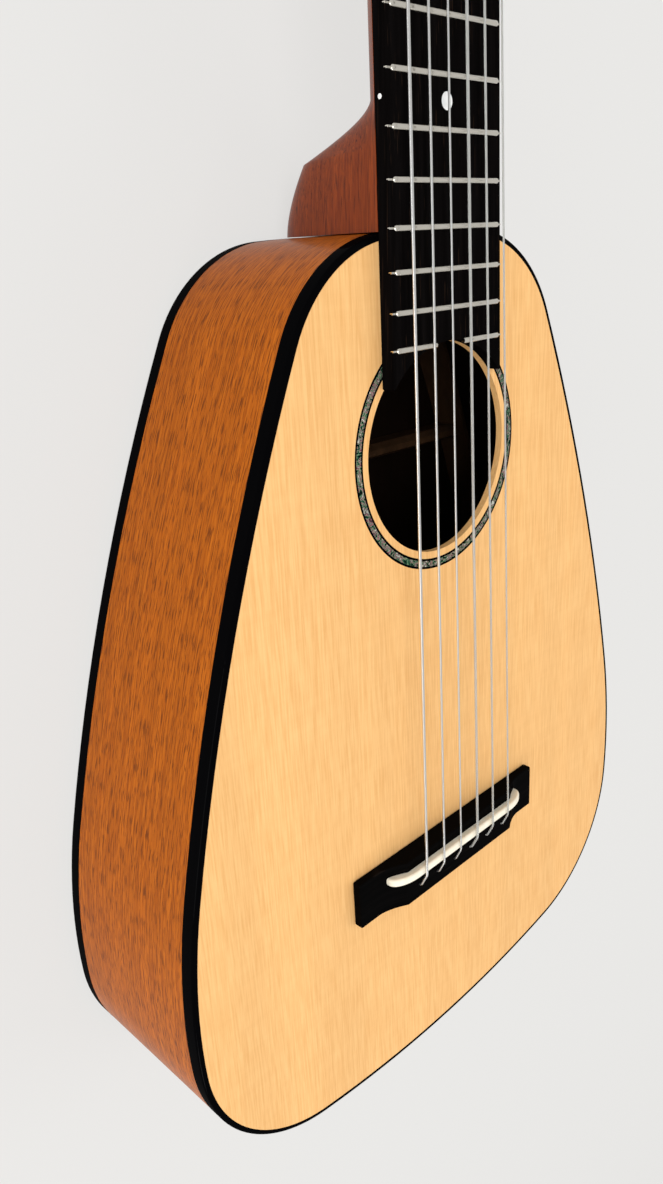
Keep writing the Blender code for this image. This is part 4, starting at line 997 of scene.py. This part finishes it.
def add_string(index, diameter):
    radius = diameter / 2.0
    nut_x = string_x(index, SPREAD_AT_NUT)
    leaving = Vector((nut_x, NUT_END, NUT_FLOOR - NUT_BACK_DROP + radius))
    route = knot_and_bridge(string_x(index, SPREAD_AT_SADDLE), radius)
    route.append(((nut_x, SCALE + SEAT_GAP, NUT_FLOOR + radius), 1.0))
    route.append((tuple(leaving), 1.0))
    route += [(point, 1.0) for point in winding(index, diameter, leaving)]
    name = f"string_{len(STRING_DIAMETERS) - index}"
    curve = bpy.data.curves.new(f"{name}_wire", "CURVE")
    curve.dimensions = "3D"
    curve.bevel_depth = radius
    curve.bevel_resolution = 3
    curve.use_fill_caps = True
    spline = curve.splines.new("POLY")
    spline.points.add(len(route) - 1)
    for point, (place, share) in zip(spline.points, route):
        point.co = (*(BODY @ Vector(place)), 1.0)
        point.radius = share
    spline.use_smooth = True
    if index < WOUND_COUNT:
        piece(f"{name}_wire", curve, WOUND, replaces=(name,))
    else:
        piece(f"{name}_wire", curve, NYLON, replaces=(name,))


def build_strings():
    for index, diameter in enumerate(STRING_DIAMETERS):
        add_string(index, diameter)


def raised(profile, height):
    return [(radius, height + rise) for radius, rise in profile]


def build_tuners():
    post_top = VENEER_TOP + POST_ABOVE_VENEER
    for side, label in ((-1, "bass"), (1, "treble")):
        x = side * POST_X
        for row, y in enumerate(POST_YS):
            tag = f"{label}_{row + 1}"
            spot = (x, y, 0.0)
            lathe(f"ferrule_{tag}", raised(FERRULE, VENEER_TOP), NICKEL, spot=spot)
            build_button(tag, side, (x, y - WORM_DISTANCE, WORM_Z))
            cap = raised(POST_CAP, post_top)
            lathe(f"post_cap_{tag}", cap, NICKEL, f"post_{tag}", spot)
        for y in SCREW_YS:
            for off in (-SCREW_OFFSET, SCREW_OFFSET):
                name = f"screw_{label}_{round(y * 1e4)}_{'in' if off * side < 0 else 'out'}"
                head = raised(SCREW_HEAD, PLATE_BOTTOM)
                lathe(name, head, NICKEL, spot=(x + off, y, 0.0), sides=SCREW_SIDES)


def build_button(tag, side, spot):
    """A pearloid button that sleeves the CAD button's own shape."""
    edge = HEAD_HALF_AT_TIP - POST_X + BUTTON_STANDOFF
    rings = []
    for share, width, thickness in BUTTON_SHAPE:
        x = spot[0] + side * (edge + BUTTON_LENGTH * share)
        half = BUTTON_HALF_WIDTH * width
        high = BUTTON_HALF_THICKNESS * thickness
        rings.append([(x, spot[1] + half * u, spot[2] + high * v) for u, v in circle(1.0, ROUND_SIDES)])
    name = f"pearl_button_{tag}"
    piece(name, loft(name, rings, place=HEAD, smooth=60), BUTTON, f"button_{tag}")


def dress_nodes():
    """Materials of the CAD nodes that stay, by slot.

    Each CAD button is nickel, because only its shaft shows out of the pearl sleeve."""
    looks = {
        "nickel": NICKEL,
        "button_plastic": NICKEL,
        # The wooden parts left inside the body take the raw wood darkened as painted shade
        "lining_wood": RAW_WOOD_SHADED,
        "spruce": RAW_WOOD_SHADED,
        "mahogany": RAW_WOOD_SHADED,
        "black_binding": BLACK,
        "ebony": EBONY,
        "bone": BONE,
    }
    slots = {s["node"]: s["material_slot"] for s in frame["record"]["subparts"]}
    for node, obj in frame["nodes"].items():
        finish = looks.get(slots.get(node))
        if finish:
            obj.data.materials.clear()
            obj.data.materials.append(finish.material)


def build_camera():
    """The photograph's viewpoint. Its turn is a rotation vector with Y down and Z into the view."""
    to_camera = Quaternion(CAMERA_TURN.normalized(), CAMERA_TURN.length).to_matrix()
    turn = to_camera.transposed().to_4x4() @ Matrix.Diagonal((1.0, -1.0, -1.0, 1.0))
    camera = bpy.data.cameras.new("camera")
    camera.lens = CAMERA_LENS
    camera.sensor_width = CAMERA_SENSOR
    camera.sensor_fit = "AUTO"
    camera.clip_start = CAMERA_NEAR
    obj = bpy.data.objects.new("camera", camera)
    obj.matrix_world = BODY @ Matrix.Translation(CAMERA_SPOT) @ turn
    bpy.context.scene.collection.objects.link(obj)
    bpy.context.scene.camera = obj


def either_ray(nodes, links, first, second):
    """1 for rays of either kind of Light Path, and 0 for the rest."""
    path = nodes.new("ShaderNodeLightPath")
    either = nodes.new("ShaderNodeMath")
    either.operation = "MAXIMUM"
    links.new(path.outputs[first], either.inputs[0])
    links.new(path.outputs[second], either.inputs[1])
    return either.outputs[0]


def mix_shaders(nodes, links, factor, low, high, surface):
    mix = nodes.new("ShaderNodeMixShader")
    links.new(factor, mix.inputs[0])
    links.new(low, mix.inputs[1])
    links.new(high, mix.inputs[2])
    links.new(mix.outputs[0], surface)


def build_floor():
    """A pale floor that keeps the shadow and shows nearly as bright as the backdrop."""
    bm = bmesh.new()
    bmesh.ops.create_grid(bm, x_segments=1, y_segments=1, size=FLOOR_HALF)
    mesh = bpy.data.meshes.new("floor")
    bm.to_mesh(mesh)
    bm.free()
    floor = bpy.data.objects.new("floor", mesh)
    floor.location = FLOOR_SPOT
    bpy.context.scene.collection.objects.link(floor)
    material = bpy.data.materials.new("floor")
    material.use_nodes = True
    nodes, links = material.node_tree.nodes, material.node_tree.links
    shader = nodes["Principled BSDF"]
    shader.inputs["Base Color"].default_value = FLOOR_COLOUR
    shader.inputs["Roughness"].default_value = 0.9
    glow = nodes.new("ShaderNodeEmission")
    glow.inputs["Color"].default_value = srgb(*FLOOR_SHOWN)
    share = nodes.new("ShaderNodeMath")
    share.operation = "MULTIPLY"
    share.inputs[1].default_value = FLOOR_SHARE_SHOWN
    links.new(either_ray(nodes, links, "Is Camera Ray", "Is Glossy Ray"), share.inputs[0])
    surface = nodes["Material Output"].inputs["Surface"]
    mix_shaders(nodes, links, share.outputs[0], shader.outputs[0], glow.outputs[0], surface)
    floor.data.materials.append(material)


def build_world():
    """Soft even light, with a backdrop of its own colour for the camera."""
    world = bpy.data.worlds.new("studio")
    world.use_nodes = True
    nodes, links = world.node_tree.nodes, world.node_tree.links
    light = nodes["Background"]
    light.inputs["Color"].default_value = WORLD_COLOUR
    light.inputs["Strength"].default_value = WORLD_STRENGTH
    shown = nodes.new("ShaderNodeBackground")
    shown.inputs["Color"].default_value = srgb(*BACKDROP)
    shown.inputs["Strength"].default_value = 1.0
    seen = either_ray(nodes, links, "Is Camera Ray", "Is Transmission Ray")
    surface = nodes["World Output"].inputs["Surface"]
    mix_shaders(nodes, links, seen, light.outputs[0], shown.outputs[0], surface)
    bpy.context.scene.world = world


def build_lamps():
    for name, spot, aim, size, power, glossy in LAMPS:
        light = bpy.data.lights.new(name, "AREA")
        light.size = size
        light.energy = power
        lamp = bpy.data.objects.new(name, light)
        lamp.location = spot
        lamp.rotation_euler = (Vector(aim) - Vector(spot)).to_track_quat("-Z", "Y").to_euler()
        lamp.visible_glossy = glossy
        bpy.context.scene.collection.objects.link(lamp)


def build_stage():
    bpy.context.scene.view_settings.view_transform = "Standard"
    build_camera()
    build_floor()
    build_world()
    build_lamps()


build_stage()
dress_nodes()
build_body()
build_neck()
build_board()
build_frets()
build_dots()
build_nut()
build_bridge()
build_saddle()
build_strings()
build_tuners()
bpy.context.view_layer.update()
